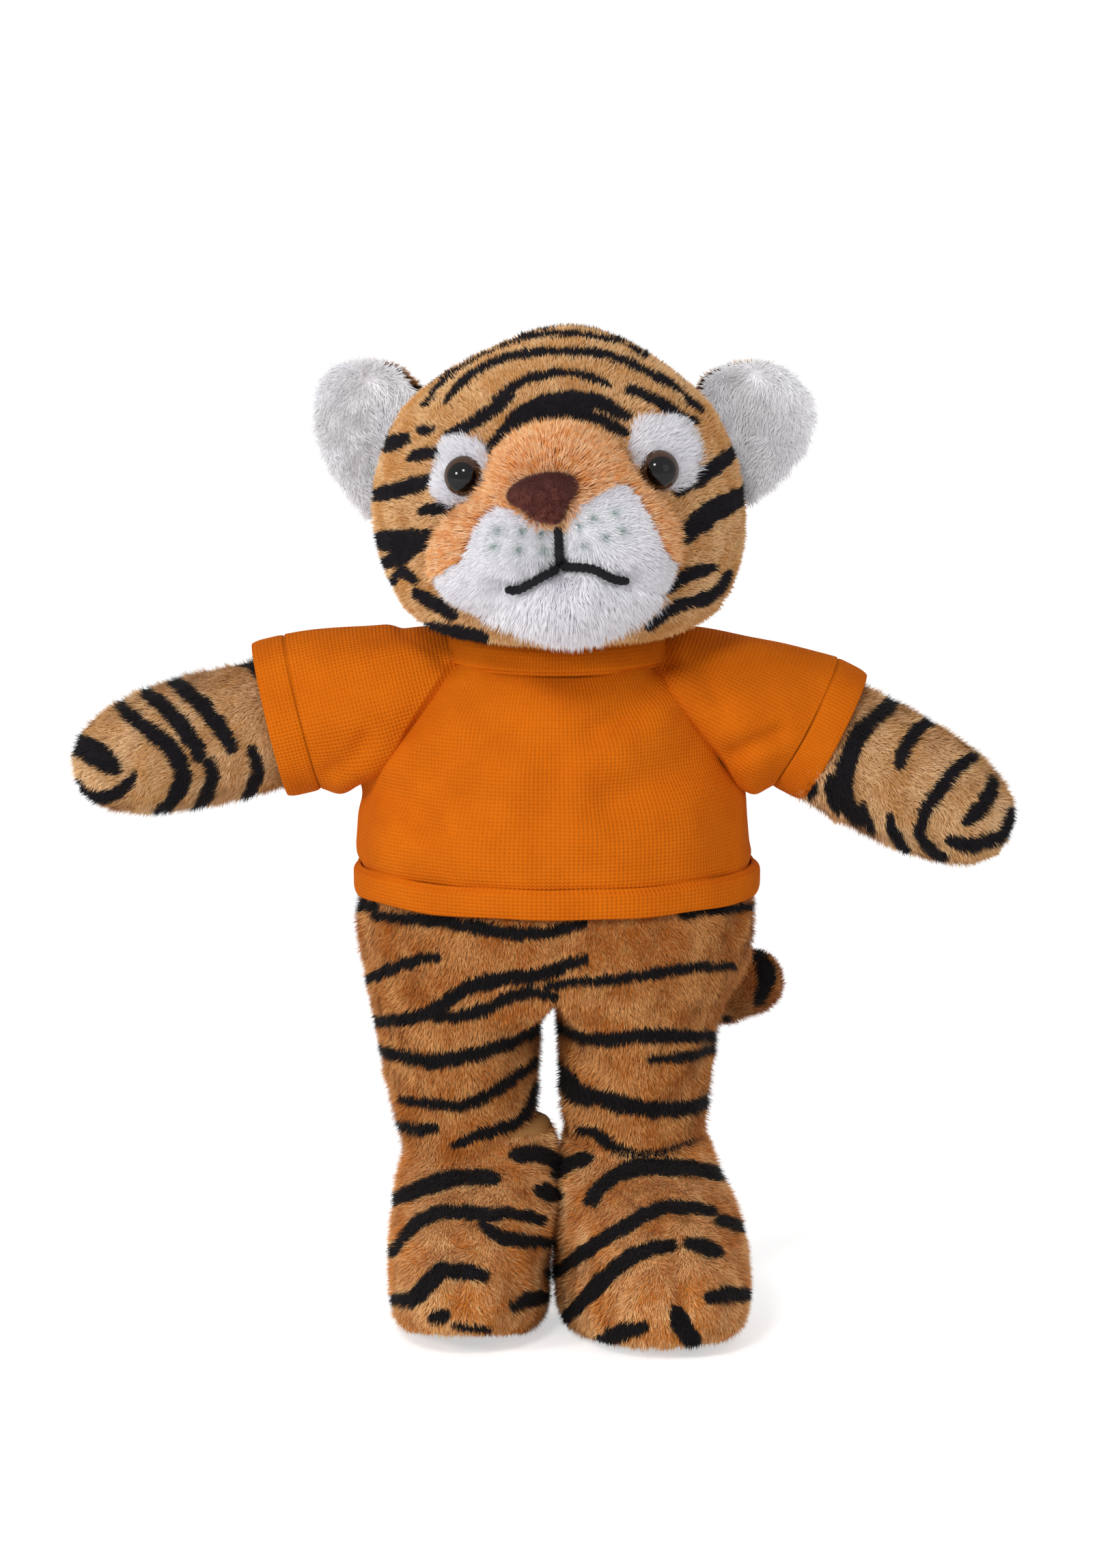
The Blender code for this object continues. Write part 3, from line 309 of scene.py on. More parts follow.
def pile_piece(name, points, material, length=2.3, width=0.30, density=1350, lean=65.0,
               comb=brushed(0.0, 0.0, -1.0), tangle=0.5, clump=9.0, guard=0.10, keep=None,
               inside_at=None, joints=1, stripes=None, seed=1):
    """Blades on a grid. Each starts at a root and leans from the normal towards the combed way,
    which a field of clump mm turns by up to tangle radians and chance by half as much. A share of
    guard hairs stand nearly upright. A blade bends a little further over at each of its joints,
    narrows to a point, lies flat where it meets the floor, and takes the stripe that lies two
    thirds along it."""
    random = np.random.default_rng(seed)
    outward = facing(points, inside_at)
    root, normal, place = pile_roots(points, density, keep, outward, random)
    count = len(root)
    way = comb(root)
    way = unit(way - (way * normal).sum(axis=1, keepdims=True) * normal)
    side = np.cross(normal, way)
    turn = tangle * ripple(root, clump, seed) + 0.5 * tangle * random.normal(size=count)
    way = way * np.cos(turn)[:, None] + side * np.sin(turn)[:, None]
    tilt = 1 + 0.2 * random.normal(size=count) + 0.25 * ripple(root, clump / 2, 3)
    tilt = np.radians(lean) * tilt
    tilt = np.clip(np.where(random.random(count) < guard, 0.35, 1.0) * tilt, 0.08, 1.35)
    reach = length * random.uniform(0.75, 1.15, count) * (1 + 0.12 * ripple(root, 14.0, 5))
    across = unit(np.cross(way, normal))
    half = 0.5 * width * random.uniform(0.8, 1.2, count)[:, None]
    rows, spine = [], root - 0.25 * normal
    for k in range(joints):
        rows += [spine - across * half * (1 - k / joints), spine + across * half * (1 - k / joints)]
        bend = np.clip(tilt * (0.75 + 0.5 * (k + 0.5) / joints), 0, 1.5)[:, None]
        spine = spine + (normal * np.cos(bend) + way * np.sin(bend)) * (reach / joints)[:, None]
    rows.append(spine)
    blade = np.stack(rows, axis=1)
    blade[..., 2] = np.maximum(blade[..., 2], 0.02)
    faces = []
    for k in range(joints - 1):
        faces += [(2 * k, 2 * k + 1, 2 * k + 3), (2 * k, 2 * k + 3, 2 * k + 2)]
    faces.append((2 * joints - 2, 2 * joints - 1, 2 * joints))
    faces = np.array(faces)
    each = blade.shape[1]
    index = (np.arange(count)[:, None, None] * each + faces).reshape(-1, 3)
    spread = np.array([(0, 0), (1, 0), (1, 1)]) * 0.0006
    corner = np.broadcast_to(spread, (len(index), 3, 2))
    uv = np.repeat(place, len(faces), axis=0)[:, None, :] + corner
    thing = mesh_object(name, blade.reshape(-1, 3), index, uv.reshape(-1, 2), material, False)
    tip = np.tile(np.r_[np.repeat(np.arange(joints) / joints, 2), 1.0], count)
    tone = np.repeat(random.random(count), each)
    dark = np.zeros(count) if stripes is None else stripes(0.35 * root + 0.65 * spine, random)
    for label, values in (("tip", tip), ("tone", tone), ("stripe", np.repeat(dark, each))):
        write_values(thing, label, values)
    print(name, count, "blades,", len(index), "triangles")
    return thing


# %% [markdown]
# ## Colours and nodes
#
# A colour picked from a screen is sRGB, but Cycles adds up light in linear values, so one function
# turns the hex value to linear. Another adds a node, sets its values and links its inputs. The
# short ones after it are the few kinds of node that every finish here is made of.

# %% Colour and node helpers
def linear(code):
    """The linear RGBA of an sRGB hex code: each channel to the power the standard gives."""
    values = [int(code[i : i + 2], 16) / 255 for i in (1, 3, 5)]
    curve = [v / 12.92 if v <= 0.04045 else ((v + 0.055) / 1.055) ** 2.4 for v in values]
    return (*curve, 1.0)


def add_node(tree, kind, settings=None, **inputs):
    """A new node. settings are its own fields; inputs are values, or sockets to link, by name."""
    node = tree.nodes.new(kind)
    for field, value in (settings or {}).items():
        setattr(node, field, value)
    for label, value in inputs.items():
        key = int(label[1:]) if label[0] == "i" and label[1:].isdigit() else label.replace("_", " ")
        socket = node.inputs[key]
        if isinstance(value, bpy.types.NodeSocket):
            tree.links.new(value, socket)
        else:
            socket.default_value = value
    return node


def new_material(name, **values):
    """A material with one Principled shader, and its tree."""
    material = bpy.data.materials.new(name)
    material.use_nodes = True
    tree = material.node_tree
    shader = tree.nodes["Principled BSDF"]
    for label, value in values.items():
        shader.inputs[label.replace("_", " ")].default_value = value
    return material, tree, shader


def mix_colour(tree, share, first, second, how="MIX"):
    """The colour output of a Mix node. share, first and second are values or sockets."""
    settings = {"data_type": "RGBA", "blend_type": how}
    return add_node(tree, "ShaderNodeMix", settings, i0=share, i6=first, i7=second).outputs[2]


def attribute(tree, name):
    """The number that a piece keeps at its points under a name."""
    return add_node(tree, "ShaderNodeAttribute", {"attribute_name": name}).outputs["Fac"]


def object_place(tree):
    """The place on the piece, in metres."""
    return add_node(tree, "ShaderNodeTexCoord").outputs["Object"]


def noise(tree, place, size_mm, detail=2.0, **inputs):
    """A cloudy value from 0 to 1 with patches of about size_mm."""
    return add_node(
        tree, "ShaderNodeTexNoise", Vector=place, Scale=1 / (size_mm * mm), Detail=detail, **inputs
    ).outputs["Fac"]


def ranged(tree, value, **limits):
    """A value carried from one range to another. A limit that isn't given is 0 or 1."""
    return add_node(tree, "ShaderNodeMapRange", Value=value, **limits).outputs["Result"]


def reckon(tree, operation, *values, clamp=False):
    """The result of one Math node."""
    settings = {"operation": operation, "use_clamp": clamp}
    inputs = {f"i{k}": value for k, value in enumerate(values)}
    return add_node(tree, "ShaderNodeMath", settings, **inputs).outputs[0]


def paint(tree, shader, colour):
    """Links a colour to the shader."""
    tree.links.new(colour, shader.inputs["Base Color"])


def roughen(tree, shader, height, strength, depth_mm):
    """A bump as deep as depth_mm where the height goes from 0 to 1."""
    depth = depth_mm * mm
    bump = add_node(tree, "ShaderNodeBump", Height=height, Strength=strength, Distance=depth)
    tree.links.new(bump.outputs["Normal"], shader.inputs["Normal"])


# %% [markdown]
# ## Pile materials
#
# The striped plush is a knitted polyester velboa, printed after brushing: dull, with a soft sheen
# where fibres turn their sides to the light. Its colour wanders by a few millimetres where the nap
# lies differently. Roots are darker, because little light reaches them. Polyester has an IOR near
# 1.57.

# %% Pile materials
black_print = "#18151A"


def pile_material(name, light, deep, root, dark=black_print, sheen=0.06, patch_mm=9.0):
    """Pile: light and deep mixed by a noise of patch_mm and each blade's own tone, the root's
    colour at its foot, and the printed dark where the stripe value is high."""
    material, tree, shader = new_material(
        name, Roughness=0.92, IOR=1.57, Specular_IOR_Level=0.2, Sheen_Weight=sheen,
        Sheen_Roughness=0.45, Sheen_Tint=linear("#FFF1DC"),
    )
    patches = noise(tree, object_place(tree), patch_mm, 3.0, Roughness=0.6)
    share = ranged(tree, patches, From_Min=0.32, From_Max=0.68)
    both = reckon(tree, "MULTIPLY_ADD", attribute(tree, "tone"), 0.9, share)
    half = reckon(tree, "SUBTRACT", both, 0.45, clamp=True)
    ground = mix_colour(tree, half, linear(deep), linear(light))
    # The root colour is painted shade: each blade darkens towards its foot, where little light
    # reaches.
    lit = ranged(tree, attribute(tree, "tip"), From_Max=0.65)
    grown = mix_colour(tree, lit, linear(root), ground)
    paint(tree, shader, mix_colour(tree, attribute(tree, "stripe"), grown, linear(dark)))
    return material


head_pile = pile_material("velboa plush pile, face", "#F6CD99", "#D29350", "#A86E36")
arm_pile = pile_material("velboa plush pile, arms", "#F8D2A2", "#D69E5E", "#A4703C")
leg_pile = pile_material("velboa plush pile, legs", "#EBAE6C", "#B9661F", "#8A4A18", "#100D0F")
# The feet's pile is lighter than the legs': partly the feet's own tan, partly painted light for
# their tops, which are lit from above in front.
foot_pile = pile_material("velboa plush pile, feet", "#FFD092", "#DB832F", "#B26A28", "#141013")
orange_pile = pile_material(
    "long orange plush pile", "#FFD7A6", "#EA984E", "#BC5C16", sheen=0.1, patch_mm=2.5
)
white_pile = pile_material("long white plush pile", "#FBFAFD", "#F0EEF4", "#EAE8EE", "#7F9A92")
ear_pile = pile_material("fleecy white ear pile", "#FFFFFF", "#F8F7FB", "#F7F6FA")
print("materials so far", len(bpy.data.materials))

# %% [markdown]
# Under the pile lies the knitted backing. Little of it shows. The striped and orange backings take
# a colour near the pile's dark roots, painted shade for the little light that reaches down there,
# and each has a fine bump of its loops, about 0.5 mm apart.

# %% Backing material
def backing_material(name, colour):
    """Backing: one colour in soft patches, with the print and a bump of loops."""
    material, tree, shader = new_material(name, Roughness=0.95, IOR=1.57, Specular_IOR_Level=0.2)
    place = object_place(tree)
    shade = ranged(tree, noise(tree, place, 8), To_Min=0.8, To_Max=1.1)
    ground = mix_colour(tree, 1.0, linear(colour), shade, "MULTIPLY")
    paint(tree, shader, mix_colour(tree, attribute(tree, "stripe"), ground, linear(black_print)))
    roughen(tree, shader, noise(tree, place, 0.5, 1.0), 0.4, 0.2)
    return material


# The striped and orange backings are painted shade: darker than their pile, as where little light
# reaches the roots.
striped_back = backing_material("velboa plush backing", "#A87844")
orange_back = backing_material("orange plush backing", "#B8692F")
white_back = backing_material("white plush backing", "#F2F0F5")

# %% [markdown]
# ## Stripes
#
# The print is a tiger pattern of tapering strokes. Each stroke is a line of picture places and a
# width. A blade is dark when the place two thirds along it lies within the stroke's half width,
# which swells in the middle of the stroke and narrows to its ends. The hidden back repeats the
# front: a place behind is first carried to the same place in front, so that the strokes run on
# round the sides.


# %% Stroke reading
def strokes_from(left, top, scale, strokes):
    """Strokes given on an enlargement of the picture, brought to picture places in px."""
    return [
        (np.array([(left + x / scale, top + y / scale) for x, y in line]), width / scale)
        for width, line in strokes
    ]


def nearest(start, step, x, v):
    """How far along a step each place lies, from 0 to 1, and its distance from the step in px."""
    t = np.clip(((x - start[0]) * step[0] + (v - start[1]) * step[1]) / (step @ step + 1e-9), 0, 1)
    return t, np.hypot(x - start[0] - t * step[0], v - start[1] - t * step[1])


def stripe_reader(strokes, middle_y, wander=2.0, ends=0.72, bold=1.28):
    """A function that gives each place 1 inside a stroke and 0 outside: the nearest point of each
    stroke's line, and the stroke's half width there, with a wandering edge."""
    starts, steps, widths, shares, spans = [], [], [], [], []
    for line, width in strokes:
        fine = smooth_line(line, 4 * len(line))
        step = np.diff(fine, axis=0)
        share = np.linspace(0, 1, len(fine))
        starts.append(fine[:-1])
        steps.append(step)
        widths.append(np.full(len(step), bold * width / 2))
        shares.append(share[:-1])
        spans.append(np.diff(share))
    starts, steps = np.vstack(starts), np.vstack(steps)
    widths, shares, spans = map(np.concatenate, (widths, shares, spans))

    def read(root, random):
        p = root.copy()
        away = p[:, 1] - (middle_y + toy_middle[1])
        p[:, 1] -= np.maximum(away, 0) * 2
        x, v = picture_place(p)
        x = x + wander * ripple(root, 5.0, 9) + random.normal(size=len(x)) * 1.2
        v = v + wander * ripple(root, 5.0, 15) + random.normal(size=len(v)) * 1.2
        best = np.full(len(x), 9.0)
        for s, d, w, a, b in zip(starts, steps, widths, shares, spans):
            t, gap = nearest(s, d, x, v)
            swell = ends + (1 - ends) * np.sin(math.pi * np.clip(a + t * b, 0.02, 0.98)) ** 0.7
            best = np.minimum(best, gap / (w * swell))
        return 1 - ramp(best, 0.98, 1.18)

    return read


def read_on_skin(thing, reader):
    """Writes the same stripe value on a skin's own points."""
    write_values(thing, "stripe", reader(points_of(thing), np.random.default_rng(0)))


# %% [markdown]
# Outlines are drawn in picture places too. The three functions below tell whether a place lies
# inside one, how far it is from a line, and turn places on an enlargement of the picture into a
# line.


# %% Outlines in the picture
def inside(polygon, x, v):
    """True for places inside a polygon, by counting the edges that lie to the left."""
    count = np.zeros(x.shape, int)
    for (ax, av), (bx, bv) in zip(polygon, np.roll(polygon, -1, axis=0)):
        crosses = (av > v) != (bv > v)
        at = ax + (v - av) / np.where(bv == av, 1e-9, bv - av) * (bx - ax)
        count += crosses & (x < at)
    return count % 2 == 1


def line_distance(line, x, v):
    """The distance in px from each place to a line."""
    best = np.full(x.shape, 1e9)
    for s, d in zip(line[:-1], np.diff(line, axis=0)):
        best = np.minimum(best, nearest(s, d, x, v)[1])
    return best


def places(left, top, scale, line, count=61, closed=False):
    """A smooth line of picture places from places on an enlargement."""
    return smooth_line([(left + x / scale, top + y / scale) for x, y in line], count, closed)


# %% [markdown]
# ## The head
#
# The head is a stuffed ball, a little wider than tall, with its crown leaning to one side. It could
# be sculpted. It is worked out instead as rings: the half width at each height, a share of it for
# the depth, and a middle that drifts with the height, all read from the picture.

# %% Head form
pile_height = 1.2
head_outline = [
    (0, 221), (7.5, 219.7), (13.8, 216.9), (20.5, 213.2), (27.5, 208.4), (33.6, 202.3), (37.4, 195),
    (39.4, 188), (40.2, 181), (39.7, 174), (38.0, 167), (34.8, 160.5), (31, 157), (26, 154.8),
    (19, 153.8), (10, 153.4), (0, 153.3),
]
head_drift = by_height(
    [(150, 1.0), (165, 1.2), (178, 0.7), (193, 0.4), (205, 0.6), (212, 1.5), (217, 2.5), (221, 3.0)]
)
head_depth_share = 0.89
head_middle_y = -7.0


def pulled_in(line, distance):
    """A line of (radius, height) moved towards the inside along its normals."""
    way = unit(np.gradient(line, axis=0))
    moved = line + np.stack([way[:, 1], -way[:, 0]], axis=1) * distance
    moved[:, 0] = np.maximum(moved[:, 0], 0)
    return moved


def head_grid(inset, rows=90, columns=120):
    """Rings of the head: (middle + r cos a, middle + share r sin a, z), with a round the ring."""
    line = pulled_in(smooth_line(head_outline, rows), inset)
    line[0, 0] = line[-1, 0] = 0
    a = around(columns)
    r, z = line[:, :1], line[:, 1:]
    x = head_drift(z) + r * np.cos(a)
    y = head_middle_y + head_depth_share * r * np.sin(a)
    return np.stack([x, y, z + 0 * a], axis=-1) + toy_middle


head_line = smooth_line(head_outline, 400)
head_half = lambda z: np.interp(-z, -head_line[:, 1], head_line[:, 0])


def head_front(x, z, lift=0.0):
    """The face's y at a sideways place and a height, both from the toy's middle line."""
    r = head_half(z) - pile_height + lift
    away = np.clip(1 - ((x - head_drift(z)) / r) ** 2, 0.02, 1)
    return head_middle_y - head_depth_share * r * np.sqrt(away)


print("head half width, mm", round(head_line[:, 0].max(), 1))

# %% [markdown]
# The stripes of the head, from the crown's thin arches to the broad marks on the cheeks. The last
# ones lie on the nape, where the face in front has its muzzle and the repeated print would be bare.

# %% Head stripes
head_strokes = strokes_from(*face_crop, [
    (14, [(350, 300), (420, 217), (520, 149), (640, 103), (770, 93), (880, 106), (940, 128),
          (1000, 160)]),
    (20, [(420, 285), (470, 225), (560, 175), (660, 148), (800, 145), (900, 160), (980, 195),
          (1060, 235), (1110, 275), (1150, 315)]),
    (20, [(560, 280), (620, 240), (700, 212), (780, 205), (885, 238)]),
    (30, [(420, 385), (480, 360), (540, 320), (600, 270)]),
    (34, [(545, 420), (590, 365), (650, 315), (720, 285), (800, 275), (860, 292), (935, 330)]),
    (28, [(690, 345), (750, 332), (810, 328), (870, 345), (930, 378)]),
    (22, [(600, 385), (640, 345), (690, 318), (760, 305), (830, 308)]),
    (28, [(945, 252), (1000, 275), (1060, 310), (1125, 345)]),
    (20, [(340, 372), (375, 368)]),
    (36, [(235, 420), (265, 408), (300, 398)]),
    (30, [(315, 450), (355, 440), (400, 433)]),
    (36, [(205, 560), (260, 548), (310, 532), (365, 518)]),
    (28, [(350, 602), (390, 598), (435, 600)]),
    (52, [(215, 690), (280, 692), (340, 688), (390, 688)]),
    (36, [(240, 755), (290, 735), (330, 700)]),
    (26, [(262, 805), (290, 780), (328, 802)]),
    (32, [(330, 840), (385, 872), (435, 905)]),
    (46, [(340, 950), (420, 960), (515, 972)]),
    (36, [(1085, 545), (1160, 500), (1250, 432)]),
    (50, [(1105, 675), (1180, 610), (1280, 555)]),
    (30, [(1065, 828), (1120, 785), (1185, 768)]),
    (30, [(1000, 938), (1080, 880), (1180, 850), (1230, 785)]),
    (30, [(400, 560), (520, 600), (640, 590), (760, 610)]),
    (34, [(980, 600), (880, 650), (760, 690), (640, 680)]),
    (34, [(430, 700), (540, 740), (660, 770), (780, 760), (900, 770)]),
    (32, [(560, 840), (680, 860), (800, 850), (950, 830)]),
    (26, [(620, 920), (720, 950), (840, 940)]),
])
head_stripes = stripe_reader(head_strokes, head_middle_y)
print("head strokes", len(head_strokes))

# %% [markdown]
# The head's skin and its pile. The pile is made in two halves, each a piece of its own, and stays
# off the place that the muzzle covers. It is brushed backwards, which is away from the middle of
# the face on every side.

# %% Head skin and pile
muzzle_middle_px = np.array([814.0, 785.0])
muzzle_px = places(440, 400, 1.0, [
    (390, 222), (438, 238), (467, 263), (487, 296), (513, 323), (541, 349), (555, 390), (553, 432),
    (543, 460), (517, 494), (465, 526), (405, 543), (348, 536), (290, 514), (240, 495), (207, 474),
    (193, 445), (190, 412), (197, 384), (218, 358), (252, 333), (274, 302), (281, 272), (300, 249),
    (335, 229),
], 120, True)


def under_muzzle(root, share=0.93):
    """True where the muzzle covers the face: inside a share of its outline."""
    outline = muzzle_middle_px + share * (muzzle_px[::3] - muzzle_middle_px)
    return (root[:, 1] < -12) & inside(outline, *picture_place(root))


head_points = head_grid(pile_height)
head_skin = surface_piece("head_skin", head_points, striped_back)
read_on_skin(head_skin, head_stripes)
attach(head_skin, "head")
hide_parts("head_front", "head_back", "head_filling")
for half, sign in out_way.items():
    piece = pile_piece(
        "head_pile_" + half, head_points, head_pile, length=1.8, lean=62.0,
        comb=brushed(0.05, 1.0, 0.0),
        keep=lambda p, s=sign: (s * (p[:, 0] - toy_middle[0] - 1) > 0) & ~under_muzzle(p),
        stripes=head_stripes, seed=11 + sign,
    )
    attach(piece, "head")

# %% [markdown]
# Under the head the body's plush runs up through the collar. It shows only when the head nods or
# turns.

# %% Neck
neck_low, neck_high = 146.0, 158.5
neck_z = np.linspace(neck_low, neck_high, 36)[:, None]
neck_a = around(96)
neck_half = 17.6 - 1.5 * ramp(neck_z, 154.0, neck_high)
neck_points = np.stack([
    neck_half * np.cos(neck_a), 0.94 * neck_half * np.sin(neck_a) - 0.5, neck_z + 0 * neck_a,
], axis=-1) + toy_middle
neck_skin = surface_piece("neck_plush", neck_points, striped_back)
read_on_skin(neck_skin, head_stripes)
neck_pile = pile_piece(
    "neck_pile", neck_points, head_pile, length=1.2, lean=70.0, stripes=head_stripes, seed=17,
    keep=lambda p: (p[:, 2] > 150.5) & (p[:, 2] < 157),
)
for piece in (neck_skin, neck_pile):
    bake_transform(piece)
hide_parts("neck_filling")

# %% [markdown]
# ## The muzzle
#
# A stuffed dome sewn on the face: an orange snout that arches over two short-haired white cheeks,
# and a long-haired white chin below the mouth. The outline between them is read from the picture,
# and each region grows its own pile. The yarn of the mouth pulls a groove into the dome, and the
# whiskers' dots are printed on the white cheeks.

# %% Muzzle form
muzzle_tip = -53.0
philtrum_px = places(*face_crop, [(738, 642), (741, 690), (743, 735), (744, 775)])
mouth_right_px = places(
    *face_crop, [(744, 775), (712, 783), (680, 798), (645, 818), (618, 828), (585, 822)])
mouth_left_px = places(
    *face_crop, [(744, 772), (790, 766), (840, 768), (880, 788), (912, 800), (943, 800)])
white_px = places(*face_crop, [
    (575, 592), (610, 600), (640, 606), (665, 632), (700, 640), (742, 640), (765, 610), (800, 585),
    (850, 555), (905, 530), (945, 555), (985, 610), (1012, 665), (1035, 715), (1060, 745),
    (1090, 752), (1082, 800), (1060, 850), (1035, 900), (965, 960), (900, 1000), (820, 1020),
    (740, 1010), (640, 985), (560, 990), (480, 965), (430, 895), (392, 805), (430, 765), (472, 742),
    (485, 705), (515, 650), (545, 612),
], 160, True)
chin_px = places(*face_crop, [
    (475, 945), (520, 905), (580, 880), (640, 850), (690, 815), (745, 790), (800, 782), (870, 800),
    (940, 820), (1000, 830), (1060, 845), (1060, 930), (960, 1000), (820, 1040), (700, 1030),
    (560, 1010),
], 120, True)


def muzzle_grid(inset=0.0, rows=110, columns=200):
    """Rings of the outline in the picture, shrunk by lateral and carried forward by forward, where
    lateral^2.5 + forward^2.5 = 1. The rim lies just under the face and inner rings turn round. The
    cheeks and chin swell the dome, and the lines of the mouth press grooves in."""
    outline = smooth_line(muzzle_px[::4], columns, True)
    forward = np.sin(np.linspace(0, 1, rows)[:, None] ** 0.85 * math.pi / 2)
    lateral = np.clip(1 - forward**2.5, 0, 1) ** (1 / 2.5)
    lateral[-1] = 0
    rim = np.full(columns, -30.0)
    for _ in range(4):
        rim = np.clip(head_front(*from_picture(outline, rim).T) + 1.5, -34, -22)
    away = outline - muzzle_middle_px
    reach = np.linalg.norm(away, axis=1)
    turned = (reach * lateral + reach.mean() * (1 - lateral) - inset * px_per_mm) * lateral
    ring = muzzle_middle_px + (away / reach[:, None]) * turned[..., None]
    y = rim + (muzzle_tip + inset - rim) * forward
    flat = from_picture(ring.reshape(-1, 2), y.ravel()).reshape(ring.shape)
    p = np.stack([flat[..., 0], y, flat[..., 1]], axis=-1)
    px, pv = picture_place(p + toy_middle)
    hump = lambda cx, cz, r: np.exp(-(((p[..., 0] - cx) ** 2 + (p[..., 2] - cz) ** 2) / r**2))
    lift = 1.6 * hump(-11, 178, 8) + 1.6 * hump(13, 180, 8) + 1.5 * hump(1, 165, 7)
    lift += 1.5 * hump(-1, 200, 10)
    for line, deep, wide in ((philtrum_px, 2.2, 22), (mouth_right_px, 2.4, 22),
                             (mouth_left_px, 2.4, 22)):
        lift -= deep * np.exp(-((line_distance(line, px, pv) / wide) ** 2))
    way = unit(p - np.array([0.5, -12.0, 180.0]))
    return p + way * (lift * ramp(forward, 0.15, 0.6))[..., None] + toy_middle


muzzle_points = muzzle_grid(1.0)
white = lambda p: inside(white_px, *picture_place(p))
chin = lambda p: inside(chin_px, *picture_place(p))


def comb_snout(root):
    """Brushed away from the nose, up over the snout and down its sides."""
    p = root - toy_middle
    return np.stack([p[:, 0] + 1.8, 0.25 * np.abs(p[:, 0]) + 6, (p[:, 2] - 190) * 0.6], axis=1)


def comb_cheeks(root):
    """Brushed away from the middle of the mouth."""
    p = root - toy_middle
    return np.stack([p[:, 0] - 0.8, 4 + 0 * p[:, 0], p[:, 2] - 186], axis=1)


def comb_chin(root):
    """Brushed down and a little outwards, as a beard."""
    p = root - toy_middle
    return np.stack([0.35 * p[:, 0], 0 * p[:, 0], -12 + 0 * p[:, 0]], axis=1)


visible = lambda p: p[:, 1] < -23.0 + toy_middle[1]
whisker_px = [
    (727, 777), (762, 779), (793, 783), (723, 802), (759, 806), (796, 808), (847, 772), (870, 760),
    (902, 751), (855, 803), (887, 788), (913, 777),
]


def whiskers(root, random):
    """Printed dots: a dark middle and a wide faint edge, as Gaussians of the distance."""
    x, v = picture_place(root)
    gap = np.min([np.hypot(x - a, v - b) for a, b in whisker_px], axis=0)
    gap = gap + random.normal(size=len(x)) * 1.5
    return 0.7 * np.exp(-((gap / 4.5) ** 2)) + 0.28 * np.exp(-((gap / 12) ** 2))


muzzle_parts = (
    ("snout", orange_back, orange_pile, lambda p: ~white(p), comb_snout, 3.2, 1100, 2, 52.0,
     "orange_plush", ("snout",)),
    ("cheeks", white_back, white_pile, lambda p: white(p) & ~chin(p), comb_cheeks, 2.0, 1600, 1,
     60.0, "white_plush", ("cheeks",)),
    ("chin", white_back, white_pile, lambda p: white(p) & chin(p), comb_chin, 3.6, 1300, 2, 70.0,
     "white_plush", ("chin", "muzzle_filling")),
)
for label, under, over, region, comb, length, density, joints, lean, slot, nodes in muzzle_parts:
    skin = surface_piece(label + "_skin", muzzle_points, under, keep=region)
    pile = pile_piece(
        label + "_pile", muzzle_points, over, length=length, density=density, comb=comb,
        joints=joints, lean=lean, tangle=0.4, clump=3.5, seed=len(label),
        keep=lambda p, r=region: r(p) & visible(p),
        stripes=whiskers if label == "cheeks" else None,
    )
    for piece in (skin, pile):
        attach(piece, "head")
    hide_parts(*nodes)


# %% [markdown]
# ## Yarn of the mouth
#
# The mouth is black yarn of three plies. A tube would look like wire, so the profile has three
# lobes that turn round the line as plies do.

# %% Yarn
def on_grid(grid, line, off=0.0):
    """The places of a picture line on a surface: the nearest front point of the grid, lifted off
    along the surface's normal and smoothed."""
    x, v = picture_place(grid)
    down, along = np.gradient(grid, axis=0), np.gradient(grid, axis=1)
    normal = unit(np.cross(down, along))
    normal = np.where((normal[..., 1:2] > 0), -normal, normal)
    flat, lifted = grid.reshape(-1, 3), (grid + normal * off).reshape(-1, 3)
    gap = np.hypot(x.ravel()[None] - line[:, :1], v.ravel()[None] - line[:, 1:])
    near = np.argpartition(gap + 1e3 * (flat[:, 1] > -15)[None], 4, axis=1)[:, :4]
    weight = 1 / (np.take_along_axis(gap, near, 1) + 0.3)
    weight /= weight.sum(axis=1, keepdims=True)
    found = (lifted[near] * weight[..., None]).sum(axis=1)
    kernel = np.array([1, 2, 3, 2, 1]) / 9
    padded_line = np.pad(found, ((2, 2), (0, 0)), mode="edge")
    return np.stack([np.convolve(padded_line[:, k], kernel, "valid") for k in range(3)], axis=1)


def patch_grid(surface, outline, swell, rows=16, power=4.0):
    """Rings of a picture outline shrink by s to its middle; each is laid on a surface and lifted
    off it by swell (1 - s^power)^(1/2)."""
    middle = outline.mean(axis=0)
    rings = []
    for s in np.cos(np.linspace(0, math.pi / 2, rows)):
        ring = middle + max(s, 0.001) * (outline - middle)
        ring = np.vstack([ring[-4:], ring, ring[:4]])
        rings.append(on_grid(surface, ring, swell * max(1 - s**power, 0) ** 0.5 - 0.3)[4:-4])
    return np.stack(rings)


def tube_grid(line, radius, sides=18, plies=0, pitch=4.0, taper=1.5):
    """Rings round a line: radius (1 + 0.16 cos(plies (a - turn))), where the turn grows with the
    length by one round for each pitch, and the ends close in a round."""
    steps = lengths_along(line)
    ahead = unit(np.gradient(line, axis=0))
    up = np.broadcast_to(np.array([0.0, -0.3, 1.0]), ahead.shape)
    side = unit(np.cross(ahead, up))
    top = np.cross(side, ahead)
    a = around(sides)[None]
    turn = 2 * math.pi * steps[:, None] / pitch
    end = np.minimum(steps, steps[-1] - steps)[:, None]
    close = np.sqrt(np.clip(1 - (1 - np.clip(end / taper, 0, 1)) ** 2, 0, 1))
    lobes = 1 + (0.16 * np.cos(plies * (a - turn)) if plies else 0 * a)
    r = radius * close * lobes
    return (line[:, None] + side[:, None] * (r * np.cos(a))[..., None]
            + top[:, None] * (r * np.sin(a))[..., None])


